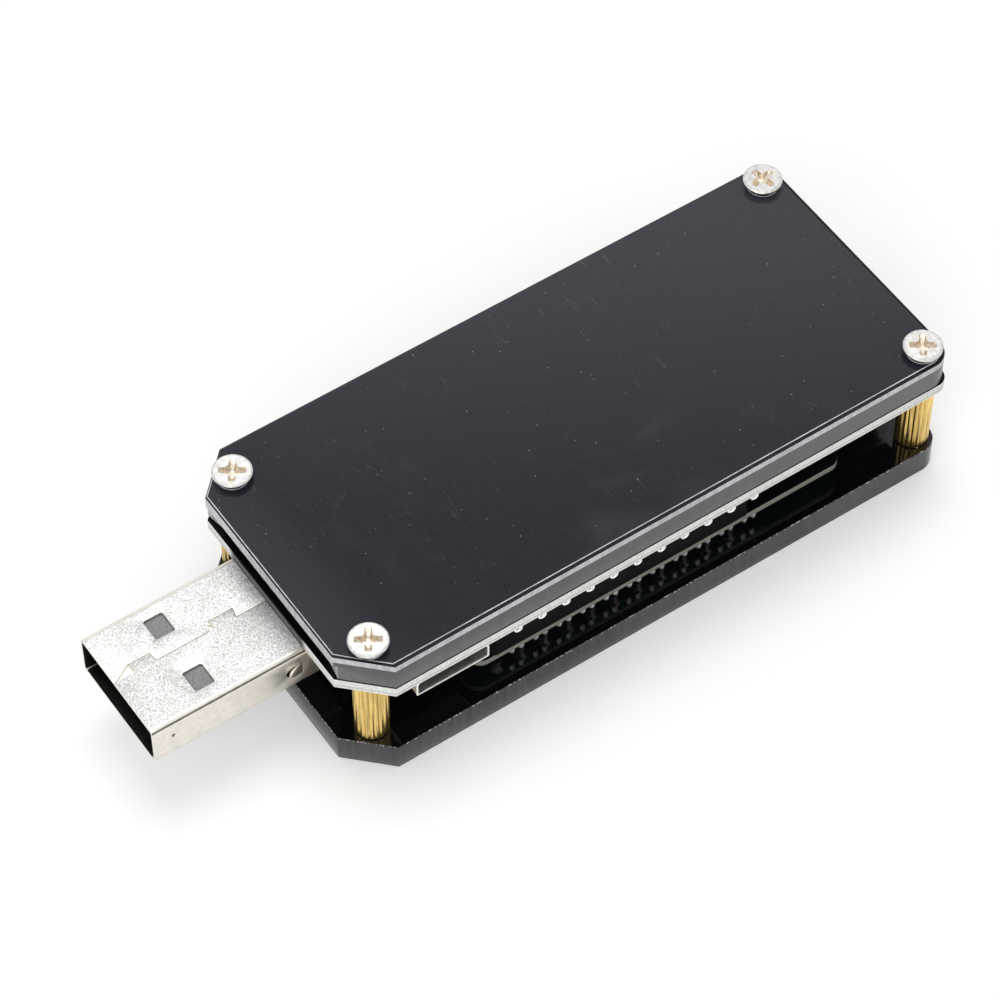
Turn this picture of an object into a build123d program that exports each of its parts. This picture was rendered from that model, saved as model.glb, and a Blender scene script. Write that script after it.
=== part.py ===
from build123d import *
import os

# A plug-in USB power meter, lying on its front plate.
# Millimetres. +Z is up, from the front plate to the back panel. +X points from the plug to the socket.
# The origin is the middle of the footprint, on the surface that the front plate rests on.

# ---- overall sizes -------------------------------------------------------------------------------
body_length = 63.7            # both plates and the main board, along X
body_width = 28.12            # the same pieces, along Y
plug_reach = 15.34            # how far the plug stands out of the body
end_chamfer = 3.85            # cut corners at the plug end
end_corner_radius = 2.0       # round corners at the socket end

body_x = plug_reach / 2       # middle of the body, so that the whole meter is centred on the origin
plug_end_x = body_x - body_length / 2
socket_end_x = body_x + body_length / 2
side_y = body_width / 2

# an outline moved inwards keeps an even distance when its 45 degree corners shrink by this share of it
cut_corner_share = 2 - 2 ** 0.5

# ---- the stack, from the front plate up ----------------------------------------------------------
front_plate_thickness = 3.0
board_thickness = 1.13
sheet_thickness = 0.2
spacer_thickness = 2.35
panel_thickness = 0.7
film_thickness = 0.05

board_corner_radius = 1.3     # the board's socket-end corners are squarer than the plates'
sheet_inset = 0.3
film_inset = 0.24
film_shift_x = -0.07           # the film is stuck on a little out of line
film_shift_y = 0.14
film_hole_gap = 0.25          # round each screw's hole in the panel
smallest_corner = 0.2

# ---- screws and standoffs ------------------------------------------------------------------------
plug_screw_inset = 3.23       # from the plug end to the first pair of screws
socket_screw_inset = 1.99     # from the socket end to the second pair
plug_screw_spacing = 21.74
socket_screw_spacing = 24.02

screw_radius = 0.95
thread_gap = 0.05
standoff_radius = 1.6
knurl_depth = 0.12
knurl_count = 20
screw_hole_radius = 1.2
head_radius = 1.83            # on the back panel
front_head_radius = 1.5       # smaller, so that its countersink stays inside the cut corners
head_land = 0.27
head_seat_gap = 0.02
recess_width = 0.65
recess_wall = 0.62            # from the end of the cross to the head's edge
recess_depth = 0.65
back_screw_length = 8.0       # over the head
front_screw_length = 6.0
front_head_sink = 0.08        # the front heads lie this far under the face
countersink_gap = 0.06

screw_places = [
    (plug_end_x + plug_screw_inset, -plug_screw_spacing / 2),
    (plug_end_x + plug_screw_inset, plug_screw_spacing / 2),
    (socket_end_x - socket_screw_inset, -socket_screw_spacing / 2),
    (socket_end_x - socket_screw_inset, socket_screw_spacing / 2),
]

# ---- spacer opening ------------------------------------------------------------------------------
spacer_side_wall = 2.36
spacer_end_wall = 4.2
spacer_mouth_half = 8.4       # half width of the open plug end
spacer_mouth_recess = 0.65    # from the plug end to the mouth's corners
spacer_tip_recess = 0.27      # from the plug end to the ends of the cut corners
spacer_mouth_overrun = 1.0    # the cut runs this far past the plug end
spacer_lip_thickness = 0.55   # a lip left over the mouth, flush with the panel
spacer_lip_width = 1.2
spacer_throat_half = 8.0      # half width between the screw bosses
spacer_throat_start = 2.2     # from the plug end
spacer_throat_end = 6.2

# ---- display -------------------------------------------------------------------------------------
display_board_margin = 2.85   # past each end of the display
display_board_inset = 2.06    # from the side of the body
display_board_thickness = 0.7
display_board_end_gap = 10.02   # from the socket end of the body
display_length = 34.6
display_width = 18.4
display_height = 1.6
display_shift_y = 1.3         # the display leaves room for the pin header beside it
display_wall = 0.6
display_glass_sink = 0.1
display_back_wall = 0.4
display_fit = 0.1
window_overlap = 0.35         # the display's edge covers the window's edge by this much
window_thickness = 1.2
window_sink = 0.1
window_ledge = 1.0
window_fit = 0.1

display_board_length = display_length + 2 * display_board_margin
display_board_width = body_width - 2 * display_board_inset
display_board_x = socket_end_x - display_board_end_gap - display_board_length / 2
window_length = display_length - 2 * window_overlap
window_width = display_width - 2 * window_overlap

# ---- pin header between the boards ---------------------------------------------------------------
pin_count = 11
pin_pitch = 2.54
pin_width = 0.64
pin_hole_radius = 0.5
first_pin_inset = 2.97        # from the display board's end nearest the plug
header_inset = 3.19           # from the side of the body
header_width = 2.5
header_height = 2.54
header_corner = 0.4
pin_tail = 1.1                # past each board
joint_radius = 0.68
joint_tip_radius = 0.34
joint_height = 0.85
bead_radius = 0.45
bead_tip_radius = 0.25
bead_height = 1.0
bead_shift = 0.2              # along X from the header pins
edge_joint_radius = 0.28      # pairs of joints at the display board's near edge
edge_joint_tip_radius = 0.12
edge_joint_height = 0.75
edge_joint_spacing = 1.0      # from a header pin to the first, and on to the second

header_y = -side_y + header_inset
header_start_x = display_board_x - display_board_length / 2 + first_pin_inset
header_x = header_start_x + (pin_count - 1) * pin_pitch / 2

# ---- USB plug ------------------------------------------------------------------------------------
plug_width = 12.0
plug_height = 4.5
plug_length = 18.75
plug_wall = 0.3
plug_corner = 0.5
plug_y = 0.42
plug_window_length = 1.95
plug_window_width = 2.3
plug_window_spacing = 6.5
plug_window_inset = 6.3       # from the mouth to the middle of the windows
plug_core_inset = 0.9         # the plastic starts this far inside the mouth
plug_core_height = 1.95
plug_cavity_depth = 12.0
plug_fit = 0.02
contact_width = 1.0
contact_thickness = 0.2
contact_places = (-3.5, -1.0, 1.0, 3.5)
contact_mouth_gap = 1.2
contact_leg_length = 0.5
contact_leg_back = 0.8        # how far behind the shell the legs stand
leg_hole_radius = 0.62
leg_tail = 0.7
tab_width = 1.6
tab_thickness = 0.3
tab_inset = 1.5               # from the shell's rear edge
tab_tail = 0.5
tab_hole_gap = 0.15

plug_front_x = plug_end_x - plug_reach
plug_rear_x = plug_front_x + plug_length
plug_leg_x = plug_rear_x + contact_leg_back

# ---- USB socket ----------------------------------------------------------------------------------
socket_gap = 0.8              # between the display board and the socket above it
socket_opening_width = 12.5
socket_opening_height = 5.12
socket_wall = 0.3
socket_length = 13.9
socket_corner = 0.5
socket_sink = 0.31            # the shell's roof lies this far under the board's top face
socket_notch_gap = 0.15
socket_back_wall = 1.6
socket_tongue_width = 11.1
socket_tongue_height = 1.84
socket_tongue_lift = 0.66     # from the opening's floor
socket_tongue_inset = 0.8     # from the mouth
socket_ear_length = 2.5
socket_ear_reach = 1.7
socket_ear_thickness = 0.3
socket_ear_inset = 6.0        # from the mouth

socket_outer_width = socket_opening_width + 2 * socket_wall
socket_outer_height = socket_opening_height + 2 * socket_wall

# ---- levels of the stack -------------------------------------------------------------------------
# the standoffs are as long as the display, its board and the sunk socket over it need
front_plate_top = front_plate_thickness
display_board_bottom = front_plate_top + display_height
display_board_top = display_board_bottom + display_board_thickness
socket_floor = display_board_top + socket_gap
socket_roof = socket_floor + socket_outer_height
board_top = socket_roof + socket_sink
board_bottom = board_top - board_thickness
standoff_length = board_bottom - front_plate_top
sheet_top = board_top + sheet_thickness
spacer_top = sheet_top + spacer_thickness
panel_top = spacer_top + panel_thickness

plug_bottom = board_bottom - plug_height
socket_rear_x = socket_end_x - socket_length
socket_leg_x = socket_rear_x - contact_leg_back

# ---- micro USB socket ----------------------------------------------------------------------------
micro_width = 7.5
micro_height = 2.45
micro_depth = 5.0
micro_wall = 0.25
micro_slope = 0.9             # the corners next to the board are cut
micro_inset = 9.96            # from the plug end to its middle
micro_mouth_inset = 0.46      # from the side of the body
micro_back_wall = 1.4
micro_tongue_width = 3.6
micro_tongue_height = 0.6
micro_tongue_inset = 0.9
micro_contact_count = 5
micro_contact_pitch = 0.65
micro_contact_width = 0.35
micro_contact_thickness = 0.12

micro_x = plug_end_x + micro_inset
micro_mouth_y = -side_y + micro_mouth_inset
micro_floor = board_bottom - micro_height

# ---- push buttons and their switches -------------------------------------------------------------
switch_size = 6.0
switch_corner = 0.3
switch_base_height = 3.2
switch_cover_thickness = 0.3
switch_pocket_radius = 2.4
switch_pocket_depth = 1.4
switch_dome_radius = 2.1
switch_dome_height = 0.45
switch_dome_thickness = 0.1
button_radius = 1.6
button_hole_gap = 0.2
cover_hole_gap = 0.15
button_flange_radius = 2.1
button_flange_height = 0.5
button_flange_gap = 0.05
button_face_sink = 0.15       # the button's face lies this far inside the front plate
button_edge_radius = 0.3
button_inset = 9.36           # from the plug end to the buttons
mode_button_y = 0.0
select_button_y = 8.0

button_x = plug_end_x + button_inset
switch_base_bottom = board_bottom - switch_base_height
switch_cover_bottom = switch_base_bottom - switch_cover_thickness
button_places = [(button_x, mode_button_y), (button_x, select_button_y)]

# ---- chips on the main board ---------------------------------------------------------------------
chip_gap = 0.1                # lead height under a chip's case
chip_corner = 0.2
controller_size = 7.0
controller_height = 1.4
controller_inset = 28.0       # these insets run from the plug end of the body
controller_y = 2.0
lead_width = 0.3
lead_pitch = 0.8
lead_count = 8
lead_reach = 1.0
lead_thickness = 0.15
regulator_length = 4.9
regulator_width = 3.9
regulator_height = 1.5
regulator_inset = 40.0
regulator_y = -5.0
inductor_size = 4.0
inductor_height = 1.8
inductor_corner = 0.8
inductor_inset = 40.0
inductor_y = 3.5
shunt_length = 6.35
shunt_width = 3.2
shunt_height = 0.6
shunt_inset = 13.5
shunt_y = -3.0
crystal_length = 3.2
crystal_width = 2.5
crystal_height = 0.8
crystal_inset = 28.0
crystal_y = -5.5
capacitor_length = 2.0
capacitor_width = 1.25
capacitor_height = 0.85
capacitor_spacing = 2.2
capacitor_rows = 4
capacitor_inset = 20.5
capacitor_y = 5.5

os.makedirs("parts", exist_ok=True)


def finish(piece, label):
    """Label a finished piece and write it as its own STEP file."""
    piece.part.label = label
    export_step(piece.part, f"parts/{label}.step")


def plate_outline(inset=0.0, corner_radius=end_corner_radius):
    """Plan shape of the plates: cut corners at the plug end, round corners at the socket end."""
    with BuildSketch() as outline:
        with Locations((body_x, 0)):
            Rectangle(body_length - 2 * inset, body_width - 2 * inset)
        chamfer(outline.vertices().group_by(Axis.X)[0], end_chamfer - inset * cut_corner_share)
        fillet(outline.vertices().group_by(Axis.X)[-1], max(corner_radius - inset, smallest_corner))
    return outline.sketch


def spacer_opening(grow=0.0):
    """Plan shape of the hollow above the board, open at the plug end between the two screw bosses."""
    inner_half = side_y - spacer_side_wall + grow
    inner_end = socket_end_x - spacer_end_wall + grow
    throat_start = plug_end_x + spacer_throat_start
    throat_end = plug_end_x + spacer_throat_end - grow
    throat_half = spacer_throat_half + grow
    mouth_x = plug_end_x - spacer_mouth_overrun
    tip_x = plug_end_x + spacer_tip_recess + grow
    tip_y = side_y - end_chamfer + tip_x - plug_end_x
    with BuildSketch() as opening:
        with BuildLine():
            upper = Polyline(
                (mouth_x, 0),
                (mouth_x, tip_y),
                (tip_x, tip_y),
                (plug_end_x + spacer_mouth_recess + grow, spacer_mouth_half + grow),
                (throat_start, throat_half),
                (throat_end, throat_half),
                (throat_end + inner_half - throat_half, inner_half),
                (inner_end, inner_half),
                (inner_end, 0),
            )
            mirror(upper, about=Plane.XZ)
        make_face()
    return opening.sketch


# ---- front plate with the window, the button holes and countersunk screw holes -------------------
countersink_radius = front_head_radius + countersink_gap
with BuildPart() as front_plate:
    with BuildSketch():
        add(plate_outline())
    extrude(amount=front_plate_thickness)
    with BuildSketch():
        with Locations((display_board_x, display_shift_y)):
            Rectangle(window_length, window_width)
    extrude(amount=window_thickness + window_sink, mode=Mode.SUBTRACT)
    with BuildSketch():
        with Locations((display_board_x, display_shift_y)):
            Rectangle(window_length - 2 * window_ledge, window_width - 2 * window_ledge)
    extrude(amount=front_plate_thickness, mode=Mode.SUBTRACT)
    with Locations(*[(x, y, front_plate_top) for x, y in button_places]):
        Hole(button_radius + button_hole_gap, depth=front_plate_thickness)
    with Locations(*[(x, y, front_plate_top) for x, y in screw_places]):
        Hole(screw_hole_radius, depth=front_plate_thickness)
    with Locations(*[(x, y, 0) for x, y in screw_places]):
        Cylinder(countersink_radius, front_head_sink + head_land,
                 align=(Align.CENTER, Align.CENTER, Align.MIN), mode=Mode.SUBTRACT)
    with Locations(*[(x, y, front_head_sink + head_land) for x, y in screw_places]):
        Cone(countersink_radius, screw_hole_radius, countersink_radius - screw_hole_radius,
             align=(Align.CENTER, Align.CENTER, Align.MIN), mode=Mode.SUBTRACT)
finish(front_plate, "front_plate")

# ---- clear window, seated on the ledge in the front plate ----------------------------------------
with BuildPart() as display_window:
    with BuildSketch(Plane.XY.offset(window_sink)):
        with Locations((display_board_x, display_shift_y)):
            Rectangle(window_length - 2 * window_fit, window_width - 2 * window_fit)
    extrude(amount=window_thickness)
finish(display_window, "display_window")

# ---- display: a frame with the glass cell in it, between the front plate and its own board -------
display_glass_top = display_board_bottom - display_back_wall
with BuildPart() as display_frame:
    with BuildSketch(Plane.XY.offset(front_plate_top)):
        with Locations((display_board_x, display_shift_y)):
            RectangleRounded(display_length, display_width, display_wall)
    extrude(amount=display_height)
    with BuildSketch(Plane.XY.offset(front_plate_top)):
        with Locations((display_board_x, display_shift_y)):
            Rectangle(display_length - 2 * display_wall, display_width - 2 * display_wall)
    extrude(amount=display_height - display_back_wall, mode=Mode.SUBTRACT)
finish(display_frame, "display_frame")

with BuildPart() as display_glass:
    with BuildSketch(Plane.XY.offset(front_plate_top + display_glass_sink)):
        with Locations((display_board_x, display_shift_y)):
            glass_trim = display_wall + display_fit
            Rectangle(display_length - 2 * glass_trim, display_width - 2 * glass_trim)
    extrude(amount=display_glass_top - front_plate_top - display_glass_sink)
finish(display_glass, "display_glass")

with BuildPart() as display_board:
    with BuildSketch(Plane.XY.offset(display_board_bottom)):
        with Locations((display_board_x, 0)):
            RectangleRounded(display_board_length, display_board_width, board_corner_radius)
        with Locations((header_x, header_y)):
            with GridLocations(pin_pitch, 0, pin_count, 1):
                Circle(pin_hole_radius, mode=Mode.SUBTRACT)
    extrude(amount=display_board_thickness)
finish(display_board, "display_board")

# ---- pin header: a plastic strip, its pins and their solder --------------------------------------
with BuildPart() as header_strip:
    with BuildSketch(Plane.XY.offset(display_board_top)):
        with Locations((header_x, header_y)):
            Rectangle(pin_count * pin_pitch, header_width)
            with GridLocations(pin_pitch, 0, pin_count, 1):
                Rectangle(pin_width, pin_width, mode=Mode.SUBTRACT)
    extrude(amount=header_height)
    chamfer(header_strip.edges().filter_by(Axis.Z).group_by(Axis.X)[0], header_corner)
    chamfer(header_strip.edges().filter_by(Axis.Z).group_by(Axis.X)[-1], header_corner)
finish(header_strip, "header_strip")

with BuildPart() as header_pins:
    with BuildSketch(Plane.XY.offset(display_board_bottom - pin_tail)):
        with Locations((header_x, header_y)):
            with GridLocations(pin_pitch, 0, pin_count, 1):
                Rectangle(pin_width, pin_width)
    extrude(amount=board_top + pin_tail - (display_board_bottom - pin_tail))
finish(header_pins, "header_pins")


def solder_ring(height, base_z, up):
    """One row of solder cones round the header pins, standing up from a board or hanging under it."""
    with BuildPart() as row:
        with Locations((header_x, header_y, base_z)):
            with GridLocations(pin_pitch, 0, pin_count, 1):
                if up:
                    Cone(joint_radius, joint_tip_radius, height,
                         align=(Align.CENTER, Align.CENTER, Align.MIN))
                else:
                    Cone(joint_tip_radius, joint_radius, height,
                         align=(Align.CENTER, Align.CENTER, Align.MAX))
                Box(pin_width, pin_width, 3 * height, mode=Mode.SUBTRACT)
    return row.part


display_edge_y = -display_board_width / 2
with BuildPart() as display_solder:
    add(solder_ring(joint_height, display_board_bottom, up=False))
    for step in (1, 2):
        with Locations((header_x + step * edge_joint_spacing, display_edge_y + edge_joint_radius,
                        display_board_bottom)):
            with GridLocations(pin_pitch, 0, pin_count, 1):
                Cone(edge_joint_tip_radius, edge_joint_radius, edge_joint_height,
                     align=(Align.CENTER, Align.CENTER, Align.MAX))
finish(display_solder, "display_solder")

with BuildPart() as board_solder:
    add(solder_ring(joint_height, board_top, up=True))
finish(board_solder, "board_solder")

# ---- solder beads in a row along the board's near edge -------------------------------------------
with BuildPart() as edge_beads:
    with Locations((header_x + bead_shift, -side_y + bead_radius, board_bottom)):
        with GridLocations(pin_pitch, 0, pin_count, 1):
            Cone(bead_tip_radius, bead_radius, bead_height,
                 align=(Align.CENTER, Align.CENTER, Align.MAX))
finish(edge_beads, "edge_beads")

# ---- main board ----------------------------------------------------------------------------------
plug_tab_places = [
    (plug_rear_x - tab_inset, plug_y + plug_width / 2 - tab_thickness / 2),
    (plug_rear_x - tab_inset, plug_y - plug_width / 2 + tab_thickness / 2),
]
with BuildPart() as main_board:
    with BuildSketch(Plane.XY.offset(board_bottom)):
        add(plate_outline(corner_radius=board_corner_radius))
        with Locations(*screw_places):
            Circle(screw_hole_radius, mode=Mode.SUBTRACT)
        with Locations((socket_end_x, 0)):
            notch_length = 2 * (socket_length + socket_notch_gap)
            Rectangle(notch_length, socket_outer_width + 2 * socket_notch_gap, mode=Mode.SUBTRACT)
        with Locations((header_x, header_y)):
            with GridLocations(pin_pitch, 0, pin_count, 1):
                Circle(pin_hole_radius, mode=Mode.SUBTRACT)
        with Locations(*[(plug_leg_x, plug_y + y) for y in contact_places]):
            Circle(leg_hole_radius, mode=Mode.SUBTRACT)
        with Locations(*[(socket_leg_x, y) for y in contact_places]):
            Circle(leg_hole_radius, mode=Mode.SUBTRACT)
        with Locations(*plug_tab_places):
            Rectangle(tab_width + 2 * tab_hole_gap, tab_thickness + 2 * tab_hole_gap, mode=Mode.SUBTRACT)
    extrude(amount=board_thickness)
finish(main_board, "main_board")

# ---- insulating sheet, spacer, back panel and cover film -----------------------------------------
with BuildPart() as insulating_sheet:
    with BuildSketch(Plane.XY.offset(board_top)):
        add(plate_outline(inset=sheet_inset))
        add(spacer_opening(grow=sheet_inset), mode=Mode.SUBTRACT)
        with Locations(*screw_places):
            Circle(screw_hole_radius, mode=Mode.SUBTRACT)
    extrude(amount=sheet_thickness)
finish(insulating_sheet, "insulating_sheet")

with BuildPart() as spacer_frame:
    with BuildSketch(Plane.XY.offset(sheet_top)):
        add(plate_outline())
        add(spacer_opening(), mode=Mode.SUBTRACT)
        with Locations(*screw_places):
            Circle(screw_hole_radius, mode=Mode.SUBTRACT)
    extrude(amount=spacer_thickness)
    with BuildSketch(Plane.XY.offset(spacer_top)):
        add(plate_outline())
        with Locations((plug_end_x, 0)):
            Rectangle(2 * spacer_lip_width, body_width, mode=Mode.INTERSECT)
    extrude(amount=-spacer_lip_thickness)
finish(spacer_frame, "spacer_frame")

with BuildPart() as back_panel:
    with BuildSketch(Plane.XY.offset(spacer_top)):
        add(plate_outline())
        with Locations(*screw_places):
            Circle(screw_hole_radius, mode=Mode.SUBTRACT)
    extrude(amount=panel_thickness)
finish(back_panel, "back_panel")

with BuildPart() as cover_film:
    with BuildSketch(Plane.XY.offset(panel_top)):
        with Locations((film_shift_x, film_shift_y)):
            add(plate_outline(inset=film_inset))
        with Locations(*screw_places):
            Circle(screw_hole_radius + film_hole_gap, mode=Mode.SUBTRACT)
    extrude(amount=film_thickness)
finish(cover_film, "cover_film")

# ---- standoffs and screws ------------------------------------------------------------------------
with BuildPart() as standoffs:
    with BuildSketch(Plane.XY.offset(front_plate_top)):
        with Locations(*screw_places):
            Circle(standoff_radius)
            Circle(screw_radius + thread_gap, mode=Mode.SUBTRACT)
            with PolarLocations(standoff_radius, knurl_count):
                RegularPolygon(knurl_depth, 4, mode=Mode.SUBTRACT)
    extrude(amount=standoff_length)
finish(standoffs, "standoffs")


def screw(length, radius):
    """A countersunk screw with a cross recess: the head's flat top at Z = 0, the shank hanging below it."""
    cone_height = radius - screw_radius
    recess_length = 2 * (radius - recess_wall)
    with BuildPart() as one:
        Cylinder(radius, head_land, align=(Align.CENTER, Align.CENTER, Align.MAX))
        with Locations((0, 0, -head_land)):
            Cone(screw_radius, radius, cone_height, align=(Align.CENTER, Align.CENTER, Align.MAX))
        Cylinder(screw_radius, length, align=(Align.CENTER, Align.CENTER, Align.MAX))
        Box(recess_length, recess_width, 2 * recess_depth, mode=Mode.SUBTRACT)
        Box(recess_width, recess_length, 2 * recess_depth, mode=Mode.SUBTRACT)
        chamfer(one.edges().group_by(Axis.Z)[0], screw_radius / 4)
    return one.part


# the back heads stand on the rims of plain holes, and the front heads lie in countersinks
back_head_top = panel_top + (head_radius - screw_hole_radius) + head_land + head_seat_gap
with BuildPart() as back_screws:
    with Locations(*[(x, y, back_head_top) for x, y in screw_places]):
        add(screw(back_screw_length, head_radius))
finish(back_screws, "back_screws")

with BuildPart() as front_screws:
    with Locations(*[Location((x, y, front_head_sink), (180, 0, 0)) for x, y in screw_places]):
        add(screw(front_screw_length, front_head_radius))
finish(front_screws, "front_screws")


# ---- USB plug ------------------------------------------------------------------------------------
def leg(x, y, bottom, top):
    """A contact's leg, standing through its hole in the board."""
    with Locations((x, y, bottom)):
        Box(contact_leg_length, contact_width / 2, top - bottom,
            align=(Align.CENTER, Align.CENTER, Align.MIN))


with BuildPart() as plug_shell:
    with BuildSketch(Plane.YZ.offset(plug_front_x)):
        with Locations((plug_y, plug_bottom + plug_height / 2)):
            RectangleRounded(plug_width, plug_height, plug_corner)
            RectangleRounded(plug_width - 2 * plug_wall, plug_height - 2 * plug_wall,
                             plug_corner - plug_wall, mode=Mode.SUBTRACT)
    extrude(amount=plug_length)
    with Locations((plug_front_x + plug_window_inset, plug_y, board_bottom)):
        with GridLocations(0, plug_window_spacing, 1, 2):
            Box(plug_window_length, plug_window_width, 3 * plug_wall, mode=Mode.SUBTRACT)
    with Locations((plug_front_x + plug_window_inset, plug_y, plug_bottom)):
        with GridLocations(0, plug_window_spacing, 1, 2):
            Box(plug_window_length, plug_window_width, 3 * plug_wall, mode=Mode.SUBTRACT)
    with Locations(*[(x, y, board_bottom - plug_corner) for x, y in plug_tab_places]):
        Box(tab_width, tab_thickness, plug_corner + board_thickness + tab_tail,
            align=(Align.CENTER, Align.CENTER, Align.MIN))
finish(plug_shell, "plug_shell")

plug_core_width = plug_width - 2 * plug_wall - 2 * plug_fit
plug_core_top = board_bottom - plug_wall - plug_fit
plug_core_bottom = plug_bottom + plug_wall + plug_fit
plug_tongue_bottom = plug_core_top - plug_core_height
plug_cavity_end = plug_front_x + plug_cavity_depth
plug_leg_top = board_top + leg_tail
with BuildPart() as plug_core:
    with BuildSketch(Plane.YZ.offset(plug_front_x + plug_core_inset)):
        with Locations((plug_y, plug_core_top - plug_core_height / 2)):
            Rectangle(plug_core_width - plug_corner, plug_core_height)
    extrude(amount=plug_rear_x - plug_front_x - plug_core_inset)
    with BuildSketch(Plane.YZ.offset(plug_cavity_end)):
        with Locations((plug_y, (plug_core_top + plug_core_bottom) / 2)):
            Rectangle(plug_core_width - plug_corner, plug_core_top - plug_core_bottom)
    extrude(amount=plug_rear_x - plug_cavity_end)
    with Locations(*[(plug_front_x + contact_mouth_gap, plug_y + y, plug_tongue_bottom)
                     for y in contact_places]):
        Box(plug_length, contact_width, contact_thickness,
            align=(Align.MIN, Align.CENTER, Align.MIN), mode=Mode.SUBTRACT)
finish(plug_core, "plug_core")

with BuildPart() as plug_contacts:
    with Locations(*[(plug_front_x + contact_mouth_gap, plug_y + y, plug_tongue_bottom)
                     for y in contact_places]):
        Box(plug_leg_x + contact_leg_length / 2 - plug_front_x - contact_mouth_gap, contact_width,
            contact_thickness, align=(Align.MIN, Align.CENTER, Align.MIN))
    for y in contact_places:
        leg(plug_leg_x, plug_y + y, plug_tongue_bottom, plug_leg_top)
finish(plug_contacts, "plug_contacts")

# ---- USB socket, sunk into a notch in the board --------------------------------------------------
ear_y = socket_outer_width / 2
with BuildPart() as socket_shell:
    with BuildSketch(Plane.YZ.offset(socket_rear_x)):
        with Locations((0, (socket_roof + socket_floor) / 2)):
            RectangleRounded(socket_outer_width, socket_outer_height, socket_corner)
            RectangleRounded(socket_opening_width, socket_opening_height,
                             socket_corner - socket_wall, mode=Mode.SUBTRACT)
    extrude(amount=socket_length)
    for side in (-1, 1):
        with Locations((socket_end_x - socket_ear_inset, side * (ear_y - socket_wall / 2),
                        socket_roof - socket_corner)):
            Box(socket_ear_length, socket_wall, socket_corner + socket_sink + socket_ear_thickness,
                align=(Align.CENTER, Align.CENTER, Align.MIN))
        with Locations((socket_end_x - socket_ear_inset,
                        side * (ear_y - socket_wall + (socket_ear_reach + socket_wall) / 2), board_top)):
            Box(socket_ear_length, socket_ear_reach + socket_wall, socket_ear_thickness,
                align=(Align.CENTER, Align.CENTER, Align.MIN))
finish(socket_shell, "socket_shell")

socket_tongue_bottom = socket_floor + socket_wall + socket_tongue_lift
socket_tongue_top = socket_tongue_bottom + socket_tongue_height
socket_contact_bottom = socket_tongue_top - contact_thickness
with BuildPart() as socket_core:
    with BuildSketch(Plane.YZ.offset(socket_rear_x)):
        with Locations((0, (socket_roof + socket_floor) / 2)):
            Rectangle(socket_opening_width - socket_corner, socket_opening_height - 2 * plug_fit)
    extrude(amount=socket_back_wall)
    with BuildSketch(Plane.YZ.offset(socket_rear_x)):
        with Locations((0, (socket_tongue_bottom + socket_tongue_top) / 2)):
            Rectangle(socket_tongue_width, socket_tongue_height)
    extrude(amount=socket_length - socket_tongue_inset)
    with Locations(*[(socket_end_x - socket_tongue_inset - contact_mouth_gap, y, socket_contact_bottom)
                     for y in contact_places]):
        Box(socket_length, contact_width, contact_thickness,
            align=(Align.MAX, Align.CENTER, Align.MIN), mode=Mode.SUBTRACT)
finish(socket_core, "socket_core")

with BuildPart() as socket_contacts:
    contact_front = socket_end_x - socket_tongue_inset - contact_mouth_gap
    with Locations(*[(contact_front, y, socket_contact_bottom) for y in contact_places]):
        Box(contact_front - socket_leg_x + contact_leg_length / 2, contact_width, contact_thickness,
            align=(Align.MAX, Align.CENTER, Align.MIN))
    for y in contact_places:
        leg(socket_leg_x, y, socket_contact_bottom, board_top + leg_tail)
finish(socket_contacts, "socket_contacts")


# ---- micro USB socket, hanging under the board at the near side ----------------------------------
def micro_profile(inset):
    """Section of the micro USB shell, wide side down, with the corners next to the board cut."""
    half = micro_width / 2 - inset
    low = micro_floor + inset
    high = board_bottom - inset
    slope = micro_slope - inset * cut_corner_share
    with BuildSketch(Plane.XZ) as profile:
        with BuildLine():
            Polyline(
                (micro_x - half, low),
                (micro_x + half, low),
                (micro_x + half, high - slope),
                (micro_x + half - slope, high),
                (micro_x - half + slope, high),
                (micro_x - half, high - slope),
                close=True,
            )
        make_face()
    return profile.sketch_local


micro_mouth_plane = Plane.XZ.offset(-micro_mouth_y)
micro_rear_plane = Plane.XZ.offset(-(micro_mouth_y + micro_depth))
with BuildPart() as micro_shell:
    with BuildSketch(micro_mouth_plane):
        add(micro_profile(0.0))
        add(micro_profile(micro_wall), mode=Mode.SUBTRACT)
    extrude(amount=-micro_depth)
finish(micro_shell, "micro_shell")

micro_tongue_z = micro_floor + micro_height / 2
micro_contact_z = micro_tongue_z - micro_tongue_height / 2
with BuildPart() as micro_core:
    with BuildSketch(micro_rear_plane):
        add(micro_profile(micro_wall + plug_fit))
    extrude(amount=micro_back_wall)
    with BuildSketch(micro_rear_plane):
        with Locations((micro_x, micro_tongue_z)):
            Rectangle(micro_tongue_width, micro_tongue_height)
    extrude(amount=micro_depth - micro_tongue_inset)
    with Locations((micro_x, micro_mouth_y + 2 * micro_tongue_inset, micro_contact_z)):
        with GridLocations(micro_contact_pitch, 0, micro_contact_count, 1):
            Box(micro_contact_width, micro_depth, micro_contact_thickness,
                align=(Align.CENTER, Align.MIN, Align.MIN), mode=Mode.SUBTRACT)
finish(micro_core, "micro_core")

with BuildPart() as micro_contacts:
    with Locations((micro_x, micro_mouth_y + 2 * micro_tongue_inset, micro_contact_z)):
        with GridLocations(micro_contact_pitch, 0, micro_contact_count, 1):
            Box(micro_contact_width, micro_depth - 2 * micro_tongue_inset + contact_leg_length,
                micro_contact_thickness, align=(Align.CENTER, Align.MIN, Align.MIN))
    leg_height = board_bottom - micro_contact_z
    with Locations((micro_x, micro_mouth_y + micro_depth + contact_leg_length / 2, micro_contact_z)):
        with GridLocations(micro_contact_pitch, 0, micro_contact_count, 1):
            Box(micro_contact_width, contact_leg_length / 2, leg_height,
                align=(Align.CENTER, Align.CENTER, Align.MIN))
finish(micro_contacts, "micro_contacts")

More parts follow.
